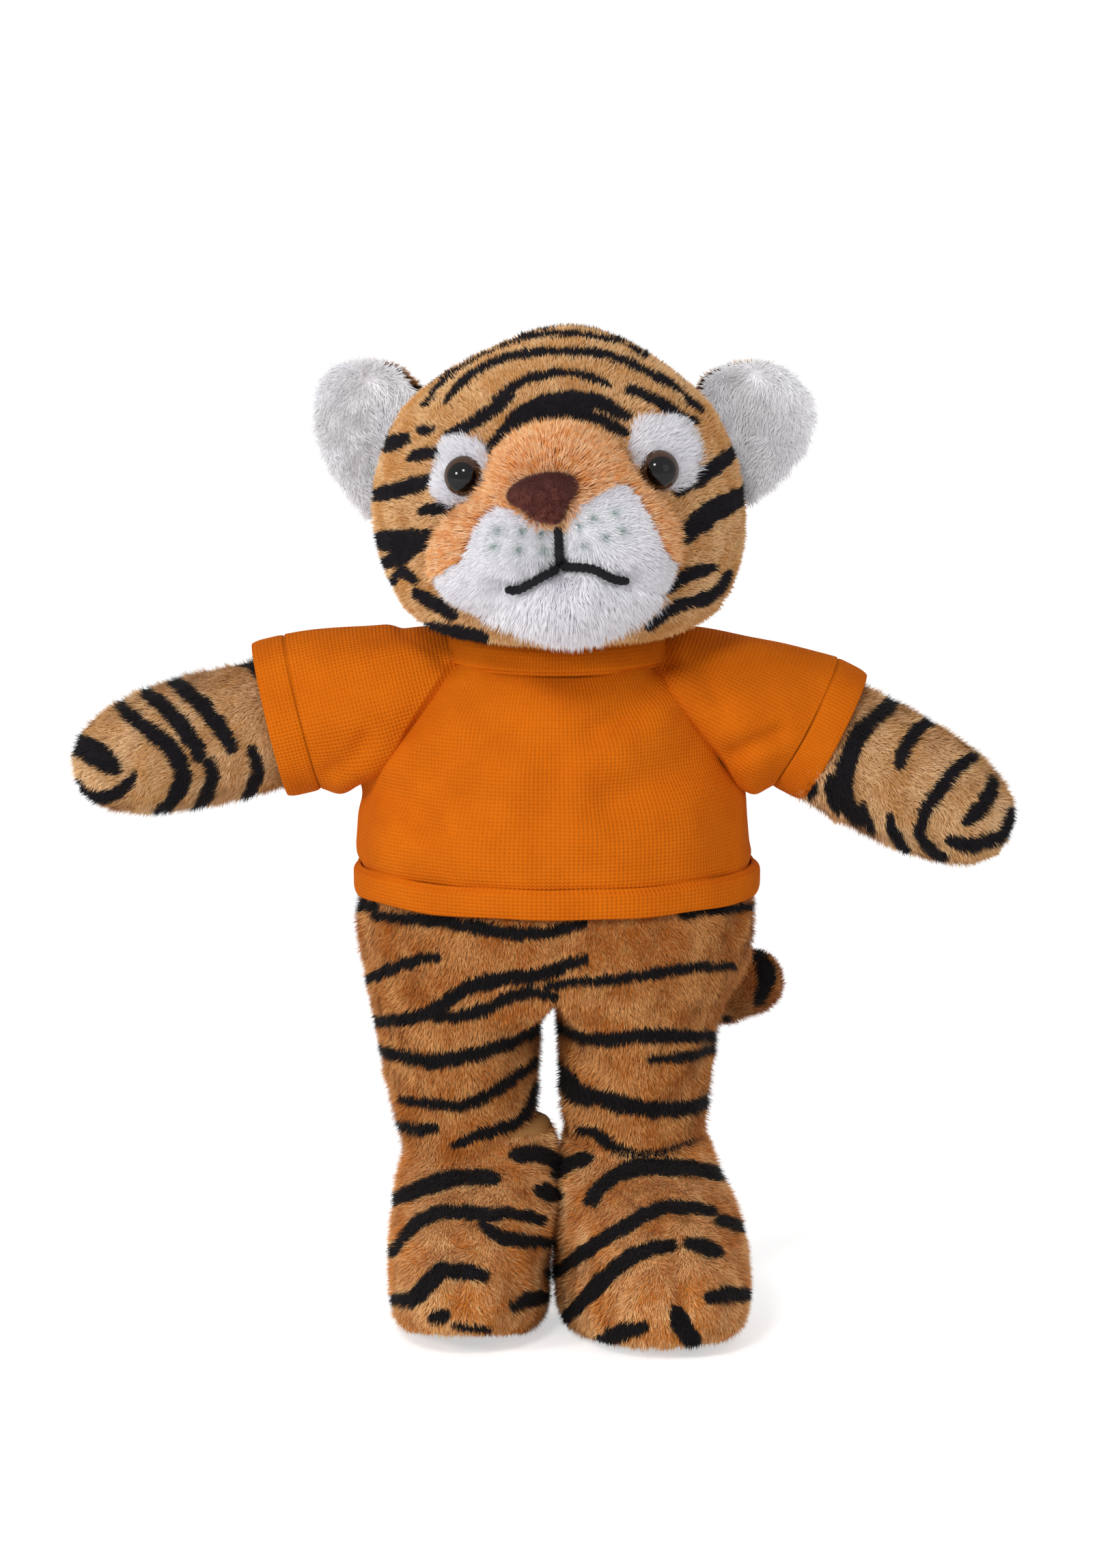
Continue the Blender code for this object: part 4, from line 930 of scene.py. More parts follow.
yarn_material, tree, shader = new_material(
    "black acrylic yarn", Roughness=0.85, IOR=1.49, Specular_IOR_Level=0.2, Sheen_Weight=0.08,
    Sheen_Roughness=0.4,
)
fuzz = noise(tree, object_place(tree), 0.6, 3.0)
paint(tree, shader, mix_colour(tree, fuzz, linear("#08070A"), linear("#1D1B20")))
roughen(tree, shader, fuzz, 0.6, 0.25)

fine_muzzle = muzzle_grid(0.2, 200, 360)
for label, line in (("philtrum", philtrum_px), ("mouth_right", mouth_right_px),
                    ("mouth_left", mouth_left_px)):
    path = smooth_line(on_grid(fine_muzzle, line[::2], 0.8)[::3], 90)
    yarn = surface_piece("yarn_" + label, tube_grid(path, 0.9, plies=3), yarn_material)
    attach(yarn, "head")
    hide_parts(label)

# %% [markdown]
# The nose is a patch of brown velour, stuffed a little. Its pile is under a millimetre long and
# very dense, so short thin blades grow on a cushion whose own colour and bump carry the same fine
# grain.

# %% Nose
nose_px = places(620, 620, 2.4875, [
    (305, 262), (328, 226), (378, 198), (440, 182), (510, 181), (553, 200), (564, 235), (546, 268),
    (520, 295), (524, 325), (502, 350), (460, 362), (412, 352), (376, 328), (350, 305), (318, 292),
], 72, True)
nose_grid = patch_grid(fine_muzzle, nose_px, 3.2, 24, 3.0)

nose_material, tree, shader = new_material(
    "brown velour", Roughness=0.8, IOR=1.5, Specular_IOR_Level=0.2, Sheen_Weight=0.25,
    Sheen_Roughness=0.35, Sheen_Tint=linear("#B87870"),
)
place = object_place(tree)
nap = add_node(tree, "ShaderNodeTexNoise", Vector=place, Scale=1 / (0.35 * mm), Detail=2.0)
lie = noise(tree, place, 3.0)
ground = mix_colour(tree, lie, linear("#3C1411"), linear("#5C2C28"))
paint(tree, shader, mix_colour(tree, 0.35, ground, nap.outputs["Color"], "SOFT_LIGHT"))
roughen(tree, shader, nap.outputs["Fac"], 0.7, 0.25)
nose = surface_piece("nose_cushion", nose_grid, nose_material)
velour = pile_material(
    "brown velour pile", "#94564C", "#4A1B16", "#300F0C", sheen=0.2, patch_mm=1.6
)
nose_pile = pile_piece(
    "nose_pile", nose_grid, velour, length=0.9, width=0.16, density=4500, lean=40, seed=71
)
for piece in (nose, nose_pile):
    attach(piece, "head")
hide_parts("nose")

# %% [markdown]
# ## Eyes
#
# Safety eyes are domes of clear acrylic, painted behind: a black pupil in a brown iris. The colour
# is read from the distance to the dome's middle, and a smooth clear coat gives the sharp
# highlights. Round each eye a white plush patch is sewn on the face.

# %% Eye patches
fine_head = head_grid(pile_height, 160, 320)
patch_px = {
    "right": places(*face_crop, [
        (398, 450), (412, 412), (450, 393), (490, 395), (525, 412), (548, 450), (545, 500),
        (510, 560), (455, 592), (405, 585), (378, 545), (386, 495)], 64, True),
    "left": places(*face_crop, [
        (945, 385), (972, 342), (1040, 332), (1100, 348), (1135, 395), (1146, 460), (1128, 515),
        (1085, 548), (1045, 545), (990, 515), (950, 465), (934, 420)], 64, True),
}


def comb_patch(root):
    """Brushed upwards and outwards."""
    p = root - toy_middle
    return np.stack([0.6 * np.sign(p[:, 0]), 0 * p[:, 0], 0.7 + 0 * p[:, 0]], axis=1)


for side, outline in patch_px.items():
    grid = patch_grid(fine_head, outline, 1.3)
    patch = surface_piece("patch_skin_" + side, grid, white_back)
    pile = pile_piece(
        "patch_pile_" + side, grid, white_pile, length=2.4, density=1700, comb=comb_patch,
        lean=60.0, tangle=0.6, seed=5,
    )
    for piece in (patch, pile):
        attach(piece, "head")
    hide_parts("eye_patch_" + side)

# %% [markdown]
# The dome has a low wall below and a quarter wave above. Each is turned a little outwards and moved
# until its middle falls on the place read from the picture.

# %% Eyes
eye_radius = 4.35
dome_height = 3.7
wall_share = 0.2  # the share of the dome's rows that are its low wall
eye_material, tree, shader = new_material(
    "painted clear acrylic", Roughness=0.5, IOR=1.49, Specular_IOR_Level=0.0, Coat_Weight=0.6,
    Coat_Roughness=0.02, Coat_IOR=1.49,
)
ring = attribute(tree, "from_middle")
streak = noise(tree, object_place(tree), 0.5)
iris = mix_colour(tree, streak, linear("#2E1A0D"), linear("#553621"))
step = lambda low, high: add_node(
    tree, "ShaderNodeMapRange", {"interpolation_type": "SMOOTHSTEP"}, Value=ring, From_Min=low,
    From_Max=high,
).outputs["Result"]
painted = mix_colour(tree, step(0.70, 0.76), linear("#020203"), iris)
rimmed = mix_colour(tree, step(0.96, 1.0), painted, linear("#1A110B"))
paint(tree, shader, rimmed)

for side, (cx, cv) in {"right": (463, 507), "left": (1035, 490)}.items():
    spot = [face_crop[0] + cx / face_crop[2], face_crop[1] + cv / face_crop[2]]
    middle_line = np.repeat([spot], 5, axis=0)
    sign = out_way[side]
    ahead = unit(np.array([0.22 * sign, -0.97, 0.10]))
    foot = on_grid(fine_head, middle_line, 1.4)[2]
    seen = np.array(picture_place(foot + 2.4 * ahead))
    off = (middle_line[0] - seen) / px_per_mm
    foot = foot + off[0] * np.array([1.0, 0, 0]) - off[1] * view_up
    across = unit(np.cross(ahead, np.array([0, 0, 1.0])))
    up = np.cross(across, ahead)
    s = np.linspace(0, 1, 40)[:, None]
    a = around(72)
    quarter = np.clip((s - wall_share) / 0.8, 0, 1) * math.pi / 2
    flat = np.where(s < wall_share, 0.93 + 0.35 * s, np.cos(quarter))
    rise = np.where(s < wall_share, -2.0 + 10 * s, dome_height * np.sin(quarter))
    grid = (
        foot + across * (eye_radius * flat * np.cos(a))[..., None]
        + up * (eye_radius * flat * np.sin(a))[..., None] + ahead * (rise + 0 * a)[..., None]
    )
    eye = surface_piece("eye_dome_" + side, grid, eye_material)
    off = points_of(eye) - foot
    away = np.linalg.norm(off - (off @ ahead)[:, None] * ahead, axis=1) / eye_radius
    write_values(eye, "from_middle", away)
    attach(eye, "head")
    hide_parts("eye_" + side)

# %% [markdown]
# Behind the face a pressed washer of white plastic holds each eye's stem. It stays as the packed
# model has it and takes a faintly mottled, slightly glossy finish.

# %% Washers
washer_material, tree, shader = new_material(
    "white acetal washer", Roughness=0.35, IOR=1.48, Specular_IOR_Level=0.5
)
mottle = noise(tree, object_place(tree), 2)
paint(tree, shader, mix_colour(tree, mottle, linear("#DAD7CE"), linear("#EDEBE4")))
for side in out_way:
    for holder in bpy.data.objects["eye_washer_" + side].material_slots:
        holder.material = washer_material

# %% [markdown]
# ## Ears
#
# Each ear is a cupped pocket: long white pile in front, the striped plush behind, sewn round the
# rim and let into the seam of the head. Its outline comes from the picture.

# %% Ears
ear_lines = {
    "right": [(345, 290), (300, 225), (240, 182), (170, 178), (100, 192), (55, 245), (45, 330),
              (62, 425), (105, 515), (165, 590), (215, 632), (285, 560), (330, 420)],
    "left": [(1150, 290), (1170, 225), (1230, 190), (1320, 178), (1400, 205), (1455, 265),
             (1470, 350), (1440, 440), (1385, 510), (1320, 565), (1275, 585), (1200, 540),
             (1150, 420)],
}
ear_y = 4.0


def ear_grids(side):
    """The front and back of an ear: rings of its outline shrink to the middle; both faces stand
    away from the ear's plane by a rounded wall and are pushed back in the middle as a cup."""
    line = places(*face_crop, ear_lines[side], 96, True)
    flat = from_picture(line, ear_y)
    middle = flat.mean(axis=0)
    flat = middle + (flat - middle) * 0.965
    flat += [-0.3, 0.4] if side == "right" else [0.2, 0.4]
    s = np.cos(np.linspace(0, math.pi / 2, 30))[:, None]
    spot = middle + s[..., None] * (flat - middle)
    inner = (spot[..., 0] - middle[0]) * -out_way[side]
    cup = (3.2 + 3.0 * np.exp(-((inner - 5) ** 2) / 30)) * (1 - s**2)
    wall = 2.2 * np.clip(1 - s**3, 0, 1) ** 0.5
    front, rear = (
        np.stack([spot[..., 0], ear_y + gap + cup, spot[..., 1]], axis=-1) + toy_middle
        for gap in (-wall, wall)
    )
    rear = rear + np.array([2.0 if side == "right" else -1.8, 0.8, -0.2])
    return front, rear, middle


ear_strokes = strokes_from(*face_crop, [
    (34, [(345, 255), (320, 275), (305, 290)]), (24, [(250, 205), (275, 215)]),
    (30, [(1180, 300), (1205, 330)]), (16, [(1200, 195), (1225, 185)]),
    (16, [(1360, 185), (1395, 205)]), (22, [(1300, 560), (1345, 545)]),
    (26, [(60, 300), (150, 320), (240, 300)]), (26, [(80, 450), (170, 460), (260, 430)]),
    (26, [(1260, 300), (1350, 320), (1440, 300)]), (26, [(1260, 440), (1340, 460), (1420, 430)]),
])
ear_stripes = stripe_reader(ear_strokes, 900.0)
for side in out_way:
    front, rear, middle = ear_grids(side)

    def comb_ear(root, middle=middle):
        """Brushed down and out to the rim."""
        p = root - toy_middle
        x, z = p[:, 0] - middle[0], p[:, 2] - middle[1]
        return np.stack([0.7 * x, 0 * x, z - 12], axis=1)

    body = "ear_" + side
    inside_at = toy_middle + np.array([middle[0], ear_y, middle[1]])
    parts = (
        ("front", front, 1, white_back, ear_pile, 2.6, 2, "white_plush", None),
        ("back", rear, -1, striped_back, head_pile, 1.8, 1, "striped_plush", ear_stripes),
    )
    for label, grid, out, under, over, length, joints, slot, stripes in parts:
        behind = inside_at + np.array([0, 40.0 * out, 0])
        skin = surface_piece(f"ear_{label}_skin_{side}", grid, under, inside_at=behind)
        if stripes:
            read_on_skin(skin, stripes)
        pile = pile_piece(
            f"ear_{label}_pile_{side}", grid, over, length=length, density=1500, comb=comb_ear,
            joints=joints, tangle=0.7, clump=6.0, lean=66, guard=0.16, inside_at=behind,
            stripes=stripes, seed=21,
        )
        for piece in (skin, pile):
            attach(piece, body)
        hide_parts(f"ear_{label}_{side}")

# %% [markdown]
# ## Arms
#
# An arm is a stuffed tube that swells into a round paw. Its rings stand square to its own length,
# which slopes down from the shoulder. The printed stripes hang down its sides.

# %% Arm form
arm_pivot = {"right": np.array([-37.5, 0, 138.0]), "left": np.array([37.5, 0, 139.5])}
arm_depth_share = 0.86


def ways_along(slopes):
    """For each side, the way out along a tube that slopes down from the shoulder, and the way up
    from it: (cos, -sin) and (sin, cos) of its slope, in x and z."""
    ahead, up = {}, {}
    for side, sign in out_way.items():
        c, n = math.cos(slopes[side]), math.sin(slopes[side])
        ahead[side], up[side] = np.array([sign * c, 0, -n]), np.array([sign * n, 0, c])
    return ahead, up


arm_ahead, arm_up = ways_along({"right": math.radians(14.2), "left": math.radians(28.4)})
arm_profile = [
    (0, -3), (4.5, -2), (8.0, 2), (10.6, 8), (13.2, 16), (14.7, 24), (15.0, 32), (15.0, 41),
    (14.3, 49), (12.8, 56.3), (10.0, 63.0), (5.8, 67.1), (0, 68.6),
]


def arm_grid(side, inset=0.0, rows=80, columns=72):
    """Rings along the arm: pivot + ahead t + up r cos a + forward share r sin a, a little fuller
    above than below."""
    line = pulled_in(smooth_line(arm_profile, rows)[::-1], inset)[::-1]
    line[0, 0] = line[-1, 0] = 0
    a = around(columns)
    r, t = line[:, :1], line[:, 1:]
    high = r * np.cos(a) * (1 + 0.04 * np.cos(a))
    return (
        arm_pivot[side] + arm_ahead[side] * t[..., None] + arm_up[side] * high[..., None]
        + np.array([0, -1, 0]) * (arm_depth_share * r * np.sin(a))[..., None] + toy_middle
    )


# %% [markdown]
# The arms' print, and the skin and pile that ride on each arm. The pile is brushed out along the
# arm and a little down. None grows inside the sleeve, where it would come through the cloth.

# %% Arm stripes
arm_strokes = {
    "right": strokes_from(90, 900, 4.02, [
        (45, [(1010, 262), (1100, 280), (1160, 340)]),
        (66, [(660, 390), (760, 470), (860, 570), (940, 680), (1000, 790)]),
        (66, [(500, 460), (600, 540), (700, 650), (780, 770), (810, 840)]),
        (64, [(350, 540), (450, 630), (560, 720), (660, 810), (700, 900), (710, 980), (660, 1090),
              (570, 1180)]),
        (56, [(870, 880), (890, 960), (860, 1060), (790, 1170)]),
        (50, [(1120, 790), (1150, 880), (1140, 990), (1080, 1100)]),
    ]) + strokes_from(80, 880, 2.073, [
        (48, [(45, 428), (80, 440), (125, 464), (172, 505)]),
        (28, [(60, 556), (105, 592), (165, 596), (212, 566), (238, 532)]),
    ]),
    "left": strokes_from(1160, 940, 4.48, [
        (80, [(700, 350), (600, 450), (500, 540), (420, 640), (370, 760), (340, 880), (350, 1000),
              (370, 1080), (430, 1180)]),
        (64, [(920, 510), (840, 560), (780, 640), (730, 740), (705, 810)]),
        (62, [(1190, 750), (1090, 820), (1000, 930), (920, 1040), (860, 1160), (840, 1240),
              (870, 1330), (980, 1420)]),
        (76, [(1320, 920), (1290, 1000), (1250, 1080), (1160, 1170)]),
        (66, [(1040, 1300), (1150, 1340), (1280, 1310), (1400, 1250), (1440, 1120)]),
        (46, [(110, 880), (130, 950), (120, 1020)]), (60, [(250, 900), (250, 990), (300, 1110)]),
        (46, [(460, 1070), (480, 1160), (530, 1260)]),
        (54, [(640, 1150), (650, 1230), (700, 1320), (750, 1380)]),
    ]),
}


for side in out_way:
    grid = arm_grid(side, pile_height)
    stripes = stripe_reader(arm_strokes[side], 0.0, bold=1.5)
    skin = surface_piece("arm_skin_plush_" + side, grid, striped_back)
    read_on_skin(skin, stripes)
    shown = lambda p, s=side: ((p - toy_middle - arm_pivot[s]) @ arm_ahead[s]) > 20
    pile = pile_piece(
        "arm_pile_" + side, grid, arm_pile, comb=brushed(*(arm_ahead[side] + [0, 0, -0.35])),
        keep=shown, stripes=stripes, seed=31,
    )
    for piece in (skin, pile):
        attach(piece, "arm_" + side)
    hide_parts("arm_skin_" + side, "arm_filling_" + side)

# %% [markdown]
# ## Hips and legs
#
# Below the shirt each side of the body runs on into its leg. One surface per side follows it: at
# each height the ring is the leg's oval below, half of the body's oval above, and a smooth mix
# between, so no crease shows at the hip.

# %% Hip and leg form
body_depth_share = 0.68
body_half = by_height([(60, 41.8), (78, 42.4), (90, 43.4), (98, 42.4), (110, 40)])
leg_middle = {
    "right": by_height(
        [(34, -18.6), (40, -18.9), (45, -19.4), (56, -20.4), (67.7, -21.2), (80, -21)]
    ),
    "left": by_height([(34, 17.5), (40, 17.1), (45, 16.9), (56, 17.2), (67.7, 17.6), (80, 18)]),
}
leg_half = {
    "right": by_height([(34, 14.5), (40, 15.0), (45, 15.8), (56, 17.3), (67.7, 18.6), (80, 19.5)]),
    "left": by_height([(34, 14.9), (40, 15.4), (45, 16.1), (56, 17.2), (67.7, 18.0), (80, 18.5)]),
}
leg_depth = by_height([(34, 14.0), (40, 14.6), (50, 17.0), (60, 20.0), (70, 23.0), (80, 25.0)])


def leg_grid(side, inset=0.0, rows=90, columns=96):
    """Rings from the ankle to the shirt. A ring's radius at angle a is the leg's oval below, the
    body's oval above cut at the middle plane, mixed by a smooth ramp of the height."""
    z = np.linspace(35, 106, rows)[:, None]
    a = around(columns)
    sign = out_way[side]
    cx = leg_middle[side](z)
    ca, sa = np.cos(a), np.sin(a)
    rx, ry = leg_half[side](z) - inset, leg_depth(z) - inset
    leg = 1 / np.sqrt((ca / rx) ** 2 + (sa / ry) ** 2)
    bx, by = body_half(z) - inset, body_depth_share * body_half(z) - inset
    aa, bb = (ca / bx) ** 2 + (sa / by) ** 2, 2 * cx * ca / bx**2
    body = (-bb + np.sqrt(bb**2 - 4 * aa * ((cx / bx) ** 2 - 1))) / (2 * aa)
    inner = -sign * ca
    plane = (sign * cx + 0.1) / np.maximum(inner, 1e-3)
    body = np.where(inner > 0, -np.log(np.exp(-body / 0.5) + np.exp(-plane / 0.5)) * 0.5, body)
    between = np.maximum(inner, 0) ** 2
    mix = ramp(z, 63 + 4.5 * between + 3 * np.maximum(-inner, 0), 84 - 10 * between)
    r = leg * (1 - mix) + body * mix
    return np.stack([cx + r * ca, r * sa, z + 0 * a], axis=-1) + toy_middle


# %% [markdown]
# The legs' print, and a skin with its pile for each side.

# %% Leg stripes
leg_strokes = strokes_from(510, 1300, 2.412, [
    (38, [(0, 58), (30, 60), (90, 65)]),
    (38, [(95, 100), (200, 110), (330, 118), (450, 140), (560, 160), (680, 165), (760, 145),
          (830, 128)]),
    (26, [(1180, 98), (1300, 80), (1440, 66)]),
    (34, [(60, 328), (150, 290), (220, 260), (310, 245)]),
    (42, [(85, 475), (200, 465), (290, 440), (370, 385), (450, 345), (560, 320), (680, 310),
          (760, 280), (830, 255)]),
    (34, [(290, 460), (400, 455), (480, 430), (560, 395), (640, 370), (720, 385)]),
    (30, [(710, 350), (800, 335), (880, 330), (1000, 315), (1100, 300), (1200, 285), (1360, 278)]),
    (40, [(105, 575), (200, 600), (300, 615), (400, 600), (500, 575), (600, 540), (675, 498)]),
    (34, [(185, 752), (300, 765), (400, 770), (500, 730), (580, 680), (665, 618)]),
    (34, [(370, 910), (450, 880), (540, 850), (610, 820), (650, 760), (668, 700)]),
    (34, [(170, 840), (240, 855), (305, 850)]),
    (40, [(735, 492), (820, 530), (900, 540), (1000, 530), (1100, 525), (1200, 525), (1320, 525)]),
    (30, [(1070, 610), (1150, 605), (1230, 590), (1310, 562)]),
    (60, [(745, 650), (800, 725), (850, 745)]),
    (48, [(790, 710), (900, 750), (1000, 775), (1100, 785), (1200, 780), (1280, 752)]),
    (36, [(820, 858), (880, 875), (930, 915), (1000, 950), (1080, 950), (1160, 930), (1250, 905),
          (1300, 918)]),
    (34, [(680, 860), (745, 890)]), (40, [(560, 945), (650, 950), (740, 980)]),
])
leg_stripes = stripe_reader(leg_strokes, 0.0)

for side in out_way:
    grid = leg_grid(side, pile_height)
    skin = surface_piece("leg_skin_plush_" + side, grid, striped_back)
    read_on_skin(skin, leg_stripes)
    pile = pile_piece(
        "leg_pile_" + side, grid, leg_pile, keep=lambda p: p[:, 2] < 99, stripes=leg_stripes,
        seed=41,
    )
    for piece in (skin, pile):
        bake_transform(piece)
    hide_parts("leg_skin_" + side, "leg_filling_" + side)
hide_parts("body_front", "body_back", "body_filling")

# %% [markdown]
# ## Feet
#
# Big soft paws, each an upper with a seam down the middle of the toe, and a flat sole that lets the
# toy stand. The rings are ovals with squared corners that reach forward at the floor and draw back
# to the ankle.

# %% Foot form
foot_middle = {"right": -18.2, "left": 19.8}
foot_half = {"right": 17.3, "left": 20.6}
foot_turn = {"right": math.radians(-5), "left": math.radians(10)}
toe_lift = {"right": 5.6, "left": 3.0}
toe_reach = {"right": 38.0, "left": 40.5}
heel_reach = 17.2
foot_side = by_height(
    [(0, 0.84), (2.4, 0.95), (6, 1.0), (15, 1.015), (24, 1.0), (31, 0.94), (38.5, 0.83), (42, 0.76)]
)
foot_toe = by_height(
    [(0, 0.86), (2.4, 0.955), (6.5, 1.0), (13, 0.99), (20, 0.92), (27, 0.77), (33, 0.57),
     (38.5, 0.38), (42, 0.33)]
)
foot_heel = by_height(
    [(0, 0.84), (3, 0.96), (8, 1.0), (20, 0.98), (30, 0.90), (38.5, 0.82), (42, 0.78)]
)


def foot_grid(side, inset=0.0, rows=80, columns=128):
    """Rings of a superellipse |x|^2.5 + |y|^2.5 = 1 whose half sizes follow the height, turned
    about the upright. The toe is lifted a little off the floor, shrinking rings close a flat sole
    and the top inside the ankle, and the right foot bulges up at its inner side."""
    sole = np.linspace(0, 1, 12)[:-1, None]
    top = np.cos(np.linspace(0, math.pi / 2, 9))[1:, None]
    z = np.vstack([0 * sole, np.linspace(0.0, 41, rows)[:, None], 41 + 3 * np.sqrt(1 - top**2)])
    share = np.vstack([sole, np.ones((rows, 1)), top])
    share[-1] = 0
    a = around(columns)
    ca, sa = np.cos(a), np.sin(a)
    round_corner = (np.abs(ca) ** 2.5 + np.abs(sa) ** 2.5) ** (-1 / 2.5)
    half = (foot_half[side] * foot_side(z) - inset) * share
    toe = (toe_reach[side] * foot_toe(z) - inset) * share
    heel = (heel_reach * foot_heel(z) - inset) * share
    x = half * round_corner * ca
    y = np.where(sa < 0, toe, heel) * round_corner * sa
    y = y + 1.5 * np.exp(-((x / 1.5) ** 2)) * (sa < -0.3) * ramp(z, 4, 9) * (1 - ramp(z, 22, 32))
    if side == "right":
        bulge = np.maximum(ca, 0) * ramp(z, 14, 32)
        x = x + 5.2 * bulge * share
        z = z + 4.0 * bulge * ramp(z, 26, 40)
    lift = toe_lift[side] * ramp(-y, 2, 36) * (1 - ramp(z, 4, 26))
    z = np.maximum(z, inset * 0.4) + lift
    c, n = math.cos(foot_turn[side]), math.sin(foot_turn[side])
    cx = foot_middle[side] + (leg_middle[side](40.0) - foot_middle[side]) * ramp(z, 14, 38)
    return np.stack([cx + c * x - n * y, n * x + c * y, z + 0 * a], axis=-1) + toy_middle


# %% [markdown]
# The feet's print, and three pieces for each foot: the skin, its pile brushed down, and a short
# pile under the sole, which the toy's weight presses flat.

# %% Foot stripes
foot_strokes = strokes_from(560, 1640, 2.851, [
    (56, [(30, 335), (120, 300), (220, 265), (320, 240), (400, 235), (470, 243)]),
    (46, [(40, 550), (100, 470), (170, 415), (260, 385), (360, 385), (450, 395), (560, 390),
          (670, 418)]),
    (46, [(420, 430), (480, 480), (560, 500), (700, 512)]),
    (56, [(50, 750), (120, 755), (180, 690), (250, 630), (320, 630), (425, 652)]),
    (52, [(560, 780), (620, 750), (680, 738)]), (46, [(210, 830), (260, 820)]),
    (24, [(300, 860), (380, 872), (450, 880)]), (56, [(560, 150), (640, 140), (735, 172)]),
    (56, [(660, 290), (725, 312)]),
    (56, [(865, 335), (920, 270), (1000, 215), (1100, 195), (1200, 195), (1320, 205), (1440, 227)]),
    (50, [(705, 645), (790, 590), (900, 510), (1000, 450), (1100, 395), (1200, 360), (1380, 377)]),
    (54, [(755, 838), (830, 760), (930, 660), (1010, 590), (1100, 545), (1205, 522)]),
    (52, [(1285, 518), (1345, 530), (1405, 552)]), (44, [(1410, 415), (1510, 447)]),
    (56, [(1370, 740), (1440, 732), (1520, 728)]), (56, [(915, 922), (1000, 890), (1080, 868)]),
    (66, [(1230, 810), (1260, 880), (1300, 930)]), (48, [(725, 225), (780, 180), (860, 152)]),
])
foot_stripes = stripe_reader(foot_strokes, 2.0)


for side in out_way:
    grid = foot_grid(side, pile_height)
    skin = surface_piece("foot_skin_plush_" + side, grid, striped_back)
    read_on_skin(skin, foot_stripes)
    pile = pile_piece(
        "foot_pile_" + side, grid, foot_pile, comb=brushed(0.0, 0.1, -1.0),
        keep=lambda p: (p[:, 2] > 1.2) & (p[:, 2] < 44), stripes=foot_stripes, seed=51,
    )
    pressed = pile_piece(
        "sole_pile_" + side, grid, foot_pile, length=0.55, width=0.22, density=1800, lean=78,
        guard=0,
        comb=brushed(0.3, 1.0, 0.0),
        keep=lambda p: p[:, 2] <= 1.2, stripes=foot_stripes, seed=52,
    )
    for piece in (skin, pile, pressed):
        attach(piece, "leg_" + side)
    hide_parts("foot_upper_" + side, "foot_sole_" + side, "foot_filling_" + side)

# %% [markdown]
# ## Tail
#
# The tail leaves the seat and curls round the left hip, so only its end shows from the front.

# %% Tail
tail_path = smooth_line([
    (-0.5, 27.5, 89.5), (4, 34.5, 84), (8, 38.5, 78), (15, 41.5, 70.5), (24, 42, 65.5),
    (34, 39.5, 64), (42, 36.5, 67), (46.8, 34.5, 71.8),
], 100) + toy_middle
tail_radius = 7.7
tail_grid = tube_grid(tail_path, tail_radius - pile_height, sides=40, taper=7.0)
tail_stripes = stripe_reader(strokes_from(540, 1360, 1.523, [
    (38, [(862, 52), (884, 84), (888, 115), (872, 158)]), (26, [(800, 86), (790, 137), (776, 174)]),
    (18, [(778, 198), (806, 203)]),
]), 900.0, bold=1.0)


def comb_tail(root):
    """Brushed along the tail to its end."""
    near = np.argmin(((root[:, None] - tail_path[::3]) ** 2).sum(axis=2), axis=1)
    return np.gradient(tail_path[::3], axis=0)[near]


skin = surface_piece("tail_skin_plush", tail_grid, striped_back)
read_on_skin(skin, tail_stripes)
pile = pile_piece("tail_pile", tail_grid, leg_pile, comb=comb_tail, stripes=tail_stripes, seed=61)
for piece in (skin, pile):
    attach(piece, "tail")
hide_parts("tail_skin", "tail_filling")

# %% [markdown]
# ## Jersey
#
# A T-shirt is knitted jersey: rows of small loops stacked in columns, about 1 mm here, a little
# coarser than real so that they show at this size. The loops are a bump read from the UV map, which
# each piece of the shirt scales to real mm.


# %% Jersey material
column_mm, row_mm = 0.9, 0.8


def jersey_material(name, light, deep):
    """Jersey: loops with a height of |sin(pi x / column)| + 0.35 sin(2 pi y / row + 2.4 |sin|) and
    fine fuzz, painted shade that darkens the low places between the loops, and a colour that
    wanders slowly."""
    material, tree, shader = new_material(
        name, Roughness=0.9, IOR=1.52, Specular_IOR_Level=0.05, Sheen_Weight=0.03,
        Sheen_Roughness=0.5, Sheen_Tint=linear("#FF9A40"),
    )
    knit = add_node(tree, "ShaderNodeUVMap", {"uv_map": "knit"}).outputs["UV"]
    parts = add_node(tree, "ShaderNodeSeparateXYZ", Vector=knit)
    across = reckon(tree, "MULTIPLY", parts.outputs["X"], math.pi / column_mm)
    up = reckon(tree, "MULTIPLY", parts.outputs["Y"], 2 * math.pi / row_mm)
    flat = reckon(tree, "ABSOLUTE", reckon(tree, "SINE", across))
    row = reckon(tree, "SINE", reckon(tree, "MULTIPLY_ADD", flat, 2.4, up))
    loops = reckon(tree, "MULTIPLY_ADD", row, 0.35, flat)
    place = object_place(tree)
    height = reckon(tree, "MULTIPLY_ADD", noise(tree, place, 0.5, 3.0), 0.8, loops)
    share = ranged(tree, noise(tree, place, 9, 4.0), From_Min=0.3, From_Max=0.7)
    ground = mix_colour(tree, share, linear(deep), linear(light))
    # Painted shade: the colour darkens to 0.70 where the loops' height is low, between the loops.
    painted_gap_shade = ranged(tree, height, From_Max=0.5, To_Min=0.70, To_Max=1.0)
    paint(tree, shader, mix_colour(tree, 1.0, ground, painted_gap_shade, "MULTIPLY"))
    roughen(tree, shader, height, 0.6, 0.3)
    return material


jersey = jersey_material("orange cotton jersey", "#DC6E0E", "#D0650C")


